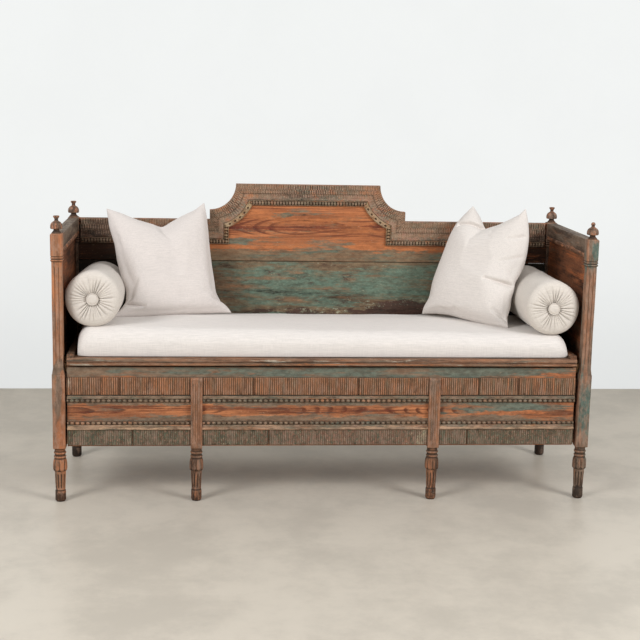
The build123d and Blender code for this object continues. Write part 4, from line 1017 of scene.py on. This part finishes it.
def bolster_skin(x, front, slope, wobble):
    """Bolster in 360 points round: front end, body and back end, each as rings about a sloping line.

    Over the radius an end falls into the button's dimple, bulges and rolls over into the side. The
    pleats are powers of a sine of the turn whose width and reach change from pleat to pleat.
    """
    (front_y, front_z), length, radius, pleats = front, 470.0, 96.0, 32
    turn = circle(360)
    face = np.concatenate([np.linspace(2, 70, 32), 70 + 26 * np.sin(np.linspace(0.05, np.pi / 2, 14))])
    rounding = (0, 18, 24, 34, 50, 70, 82, 90, 94, 96), (14, 13, 9, 4.4, 2, 3.2, 7.4, 13, 18.5, 26)
    drop = np.interp(face, *rounding)
    phase = pleats / 2 * turn + 1.2 * np.sin(3 * turn + wobble) + 0.8 * np.sin(7 * turn + 2 * wobble)
    strength = 0.72 + 0.28 * np.sin(4.3 * turn.clip(0, 6.2) + 2 * wobble)
    fold = 1 - (1 - np.abs(np.sin(phase)) ** 0.45) * strength
    extent = 90 + 8 * np.sin(5 * turn + wobble) + 7 * np.sin(11 * turn)
    depth = np.interp(face, (0, 18, 26, 50, 70, 96), (1.0, 6.0, 8.0, 7.0, 6.0, 3.0))
    depth = depth[:, None] * unit((extent - face[:, None]) / 30)
    # how deep a point lies in a pleat; the linen darkens the pleats by it, as painted shade
    crease = unit((1 - fold) * depth / 5)
    swell = 1 + 0.01 * np.sin(2 * turn + wobble) + 0.006 * np.sin(5 * turn)
    end = drop[:, None] + depth * (1 - fold)
    all_round = np.ones(len(turn))
    body = np.linspace(27, length - 27, 44)[:, None] * all_round
    girth = radius * (1 + 0.006 * np.sin(body / 47 + turn)) + 0.4 * np.sin(9 * turn + body / 19)
    faces = face[:, None] * all_round
    along = np.concatenate([end, body, (length - end)[::-1]])
    reach = np.concatenate([faces, girth, faces[::-1]]) * swell
    crease_shade = np.concatenate([crease, np.zeros_like(body), crease[::-1]])
    z = front_z + slope * along + reach * np.sin(turn)
    return skin(np.stack([x + reach * np.cos(turn), front_y + along, z], -1), crease_shade)


def button_skin(x, y, z, sign):
    """Covered button, domed, with a thin welt round its edge."""
    radius = np.array((2, 8, 13, 16.5, 17.8, 18.4, 19.6, 20.8, 21, 20, 16))[:, None]
    rise = np.array((4.0, 3.8, 3.0, 1.4, 0.3, 1.6, 2.4, 1.6, 0, -4, -8))[:, None] * np.ones(48)
    turn = circle(48)
    return skin(np.stack([x + radius * np.cos(turn), y - sign * rise, z + radius * np.sin(turn)], -1))


bolster_linen = linen("bolster_linen", tint=(220, 212, 203))
bolster_lines = (("left", -806.0, (-254.0, 708.0), -0.06), ("right", 802.0, (-264.0, 686.5), -0.008))
for side, x, front, slope in bolster_lines:
    name = f"{side}_bolster"
    bolster = carve(f"linen_{name}", [bolster_skin(x, front, slope, x)], bolster_linen, name, "linen", name)
    near = button_skin(x, front[0] + 3.5, front[1], 1)
    far = button_skin(x, front[0] + 466.5, front[1] + 470 * slope, -1)
    carve(f"{name}_covered_buttons", [near, far], bolster_linen, name, "linen", f"{name}_buttons")

# ----------------------------------------------------- pillows
# Two square feather pillows in linen covers, each set on its lower edge, leaning back, and struck
# down in the middle of its top edge so that the two upper corners stand up as ears. The lower
# corners are pinched out where the filling doesn't reach.


def seam_line(points, depths, count=97):
    """Side of a pillow's seam through points given in x and z, its y going evenly between two depths."""
    points = np.array(points, float)
    travel = np.concatenate([[0], np.cumsum(np.hypot(*np.diff(points, axis=0).T))])
    even = np.linspace(0, travel[-1], count)
    x, z = (np.interp(even, travel, points[:, axis]) for axis in (0, 1))
    line = np.stack([x, np.linspace(*depths, count), z], -1)
    for smoothing in range(6):
        line[1:-1] = (line[:-2] + 2 * line[1:-1] + line[2:]) / 4
    return line


blowing_steps = 18


def pillow(name, sides, corner_depths, bellies, creases, finish, body):
    """Closed pillow between four seam lines: left and right from below, lower and upper from the left.

    The seam surface is the sum of the two rules between opposite sides less the bilinear one between
    the corners. Front and back stand off it by the product of two flattened arches. A crease is a
    line from one place to another, in shares across and up, that presses the front in. The filled
    cover is blown up as cloth, and points move by so much at most, less near the seam.
    """
    low_left, low_right, up_left, up_right = corner_depths
    left, right = seam_line(sides[0], (low_left, up_left)), seam_line(sides[1], (low_right, up_right))
    lower, upper = seam_line(sides[2], (low_left, low_right)), seam_line(sides[3], (up_left, up_right))
    size = len(left)
    share = np.linspace(0, 1, size)
    u, v = np.meshgrid(share, share, indexing="ij")
    across, up = u[..., None], v[..., None]
    ruled = lower[:, None] * (1 - up) + upper[:, None] * up + left[None] * (1 - across) + right[None] * across
    below, above = (left[end] * (1 - across) + right[end] * across for end in (0, -1))
    seam = ruled - (below * (1 - up) + above * up)
    facing = np.cross(right[size // 2] - left[size // 2], upper[size // 2] - lower[size // 2])
    facing /= np.linalg.norm(facing)
    arch = ((1 - np.abs(2 * u - 1) ** 3.4) * (1 - np.abs(2 * v - 1) ** 3.4)).clip(0) ** 0.52
    front = bellies[0] * arch
    for (u0, v0), (u1, v1), width, depth in creases:
        du, dv = u1 - u0, v1 - v0
        run = unit(((u - u0) * du + (v - v0) * dv) / (du**2 + dv**2))
        beside = np.hypot(u - u0 - run * du, v - v0 - run * dv)
        front = front - depth * np.exp(-((beside / width) ** 2)) * np.minimum(arch * 2, 1) * (1 - 0.6 * run)
    front_sheet = seam + facing * front[..., None]
    back_sheet = seam - facing * (bellies[1] * arch)[..., None]
    inner = np.zeros((size, size), bool)
    inner[1:-1, 1:-1] = True
    front_index = np.arange(size * size).reshape(size, size)
    back_index = front_index.copy()
    back_index[inner] = size * size + np.arange(inner.sum())
    points = np.concatenate([front_sheet.reshape(-1, 3), back_sheet[inner]]) * 0.001
    index = np.stack([front_index, back_index])
    around = [index[:, :-1, :-1], index[:, 1:, :-1], index[:, 1:, 1:], index[:, :-1, 1:]]
    front_quads, back_quads = np.stack(around, -1).reshape(2, -1, 4)
    mesh = bpy.data.meshes.new(name)
    mesh.from_pydata(points.tolist(), [], np.concatenate([front_quads, back_quads[:, ::-1]]).tolist())
    mesh.materials.append(finish)
    made = linked(name, mesh)
    cloth = made.modifiers.new("cloth", "CLOTH")
    cloth.settings.quality = 8
    cloth.settings.use_pressure = True
    cloth.settings.uniform_pressure_force = 4.0
    cloth.settings.effector_weights.gravity = 0.0
    for step in range(1, blowing_steps + 1):
        bpy.context.scene.frame_set(step)
    blown = made.evaluated_get(bpy.context.evaluated_depsgraph_get()).data
    moved = np.empty(points.size, np.float32)
    blown.vertices.foreach_get("co", moved)
    made.modifiers.remove(cloth)
    bpy.context.scene.frame_set(1)
    moved = moved.reshape(-1, 3) - points
    rim = np.minimum(np.minimum(u, 1 - u), np.minimum(v, 1 - v))
    rim = np.concatenate([rim.ravel(), rim[inner]])
    cap = np.interp(rim, (0, 0.05, 0.3), (0.003, 0.012, 0.022))
    length = np.linalg.norm(moved, axis=1)
    points = points + moved * (np.minimum(length, cap) / np.maximum(length, 1e-9))[:, None]
    mesh.vertices.foreach_set("co", points.astype(np.float32).ravel())
    mesh.update()
    mesh.shade_smooth()
    smooth = made.modifiers.new("smooth", "SUBSURF")
    smooth.levels = 1
    smooth.render_levels = 1
    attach(made, body)
    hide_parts(body)


left_sides = (
    [(-757, 605), (-728, 635), (-711, 659), (-710, 700), (-728, 741), (-747, 805), (-757, 862), (-778, 920),
     (-790, 987)],
    [(-322, 599), (-340, 622), (-359, 636), (-380, 673), (-385, 711), (-395, 770), (-402, 823), (-409, 898),
     (-415, 951), (-425, 1005)],
    [(-757, 605), (-692, 604), (-633, 603), (-522, 604), (-447, 602), (-371, 601), (-322, 599)],
    [(-790, 987), (-734, 967), (-678, 943), (-625, 927), (-586, 913), (-557, 932), (-511, 957), (-463, 978),
     (-425, 1005)],
)
left_creases = (
    ((0.5, 1.0), (0.5, 0.85), 0.04, 8),
    ((0.0, 0.13), (0.2, 0.1), 0.016, 22),
    ((1.0, 0.12), (0.88, 0.16), 0.016, 12),
)
left_linen = linen("left_pillow_linen", (0.0, 0.0, -0.31), (222, 214, 209))
left_depths = (-60, 90, 120, 215)
pillow("linen_left_pillow", left_sides, left_depths, (58, 44), left_creases, left_linen, "left_pillow")
right_sides = (
    [(400, 590), (405, 615), (427, 655), (439, 714), (452, 753), (471, 805), (490, 857), (506, 899), (528, 939),
     (556, 970), (591, 1007)],
    [(673, 588), (672, 624), (686, 663), (691, 699), (703, 728), (705, 750), (728, 782), (746, 819), (757, 861),
     (764, 903), (766, 934), (764, 973), (757, 1016)],
    [(400, 590), (447, 598), (491, 601), (535, 594), (588, 588), (619, 585), (673, 588)],
    [(591, 1007), (614, 971), (626, 941), (634, 923), (647, 931), (680, 947), (711, 970), (741, 993),
     (757, 1016)],
)
right_creases = (
    ((0.36, 1.0), (0.08, 0.8), 0.02, 40),
    ((1.0, 0.34), (0.72, 0.38), 0.018, 22),
    ((1.0, 0.76), (0.8, 0.75), 0.014, 10),
    ((1.0, 0.6), (0.8, 0.55), 0.014, 8),
    ((1.0, 0.05), (0.85, 0.12), 0.02, 14),
)
right_linen = linen("right_pillow_linen", (0.0, 0.0, 0.73), (226, 219, 213))
right_depths = (150, -130, 205, 25)
pillow("linen_right_pillow", right_sides, right_depths, (56, 44), right_creases, right_linen, "right_pillow")

# ------------------------------------------------------ studio
# Pale floor meeting a white wall, soft lamps left and right of the camera and a pale sky.


def backdrop(name, corners, tint, seen, roughness):
    """Flat sheet of the studio; the camera sees it mostly as the plain colour seen, with a painted shade
    low down, and looks through it from behind."""
    mesh = bpy.data.meshes.new(name)
    mesh.from_pydata(corners, [], [(0, 1, 2, 3)])
    sheet = linked(name, mesh)
    finish = Finish(name)
    cloud = finish.noise((2.6, 2.6, 2.6), 9.0, 0.7, 5.0)
    colour = finish.cover(finish.rise(cloud, 0.38, 0.64), shade(tint), shade(tint, 0.925))
    finish.feed(Base_Color=colour, Roughness=roughness, Specular_IOR_Level=0.2)
    mesh.materials.append(finish.material)
    if seen:
        # painted shade: the glowing wall is darker towards the floor
        height = finish.node("ShaderNodeSeparateXYZ", (), {0: finish.place}, 2)
        seen_with_painted_shade = finish.cover(finish.rise(height, 0.9, -0.1), shade(seen), shade(seen, 0.935))
        glow = finish.node("ShaderNodeEmission", (), {"Color": seen_with_painted_shade, "Strength": 1.0})
        lit = Wire(finish, finish.shader.outputs[0])
        camera_ray = finish.node("ShaderNodeLightPath", output="Is Camera Ray")
        shown = finish.node("ShaderNodeMixShader", (), {0: camera_ray * 0.92, 1: lit, 2: glow})
        behind = finish.node("ShaderNodeNewGeometry", output="Backfacing")
        clear = finish.node("ShaderNodeBsdfTransparent")
        shown = finish.node("ShaderNodeMixShader", (), {0: camera_ray * behind, 1: shown, 2: clear})
        finish.tree.links.new(shown.socket, finish.tree.nodes["Material Output"].inputs["Surface"])


white = (243, 245, 244)
floor_corners = [(-9, -9, 0), (9, -9, 0), (9, 9, 0), (-9, 9, 0)]
wall_corners = [(-9, 1.4, 0), (9, 1.4, 0), (9, 1.4, 5), (-9, 1.4, 5)]
backdrop("studio_floor", floor_corners, (204, 196, 183), None, 0.38)
backdrop("studio_wall", wall_corners, (236, 238, 237), white, 0.9)


def lamp(name, power, size, spot, aim):
    """Square soft lamp at a spot, facing its aim."""
    light = bpy.data.lights.new(name, "AREA")
    light.energy = power
    light.size = size
    made = linked(name, light)
    made.location = spot
    x, y, z = np.subtract(aim, spot)
    made.rotation_euler = (np.arctan2(np.hypot(x, y), -z), 0, np.arctan2(x, -y) + np.pi)


lamp("left_softbox", 128, 1.6, (-3.4, -3.2, 2.9), (0, 0, 0.5))
lamp("right_softbox", 128, 1.6, (3.2, -3.2, 2.9), (0, 0, 0.5))

scene = bpy.context.scene
scene.world = bpy.data.worlds.new("pale_sky")
scene.world.use_nodes = True
sky = scene.world.node_tree
sky.nodes["Background"].inputs["Color"].default_value = (1.0, 1.0, 1.0, 1.0)
sky.nodes["Background"].inputs["Strength"].default_value = 0.5
plain = sky.nodes.new("ShaderNodeBackground")
plain.inputs["Color"].default_value = shade(white)
chosen = sky.nodes.new("ShaderNodeMixShader")
sky.links.new(sky.nodes.new("ShaderNodeLightPath").outputs["Is Camera Ray"], chosen.inputs[0])
sky.links.new(sky.nodes["Background"].outputs[0], chosen.inputs[1])
sky.links.new(plain.outputs[0], chosen.inputs[2])
sky.links.new(chosen.outputs[0], sky.nodes["World Output"].inputs["Surface"])
scene.view_settings.view_transform = "Standard"

camera_data = bpy.data.cameras.new("camera")
camera_data.sensor_width = 36
camera_data.lens = 71.88
camera = linked("camera", camera_data)
yaw, pitch, roll = 0.0876, 0.1809, 0.0213
ahead = np.array((np.sin(yaw) * np.cos(pitch), np.cos(yaw) * np.cos(pitch), -np.sin(pitch)))
level = np.array((np.cos(yaw), -np.sin(yaw), 0))
upright = np.cross(level, ahead)
right = np.cos(roll) * level + np.sin(roll) * upright
above = np.cos(roll) * upright - np.sin(roll) * level
pose = np.eye(4)
pose[:3, :3] = np.column_stack([right, above, -ahead])
pose[:3, 3] = (-0.4062, -4.6057, 1.4407)
camera.matrix_world = Matrix(pose.tolist())
scene.camera = camera
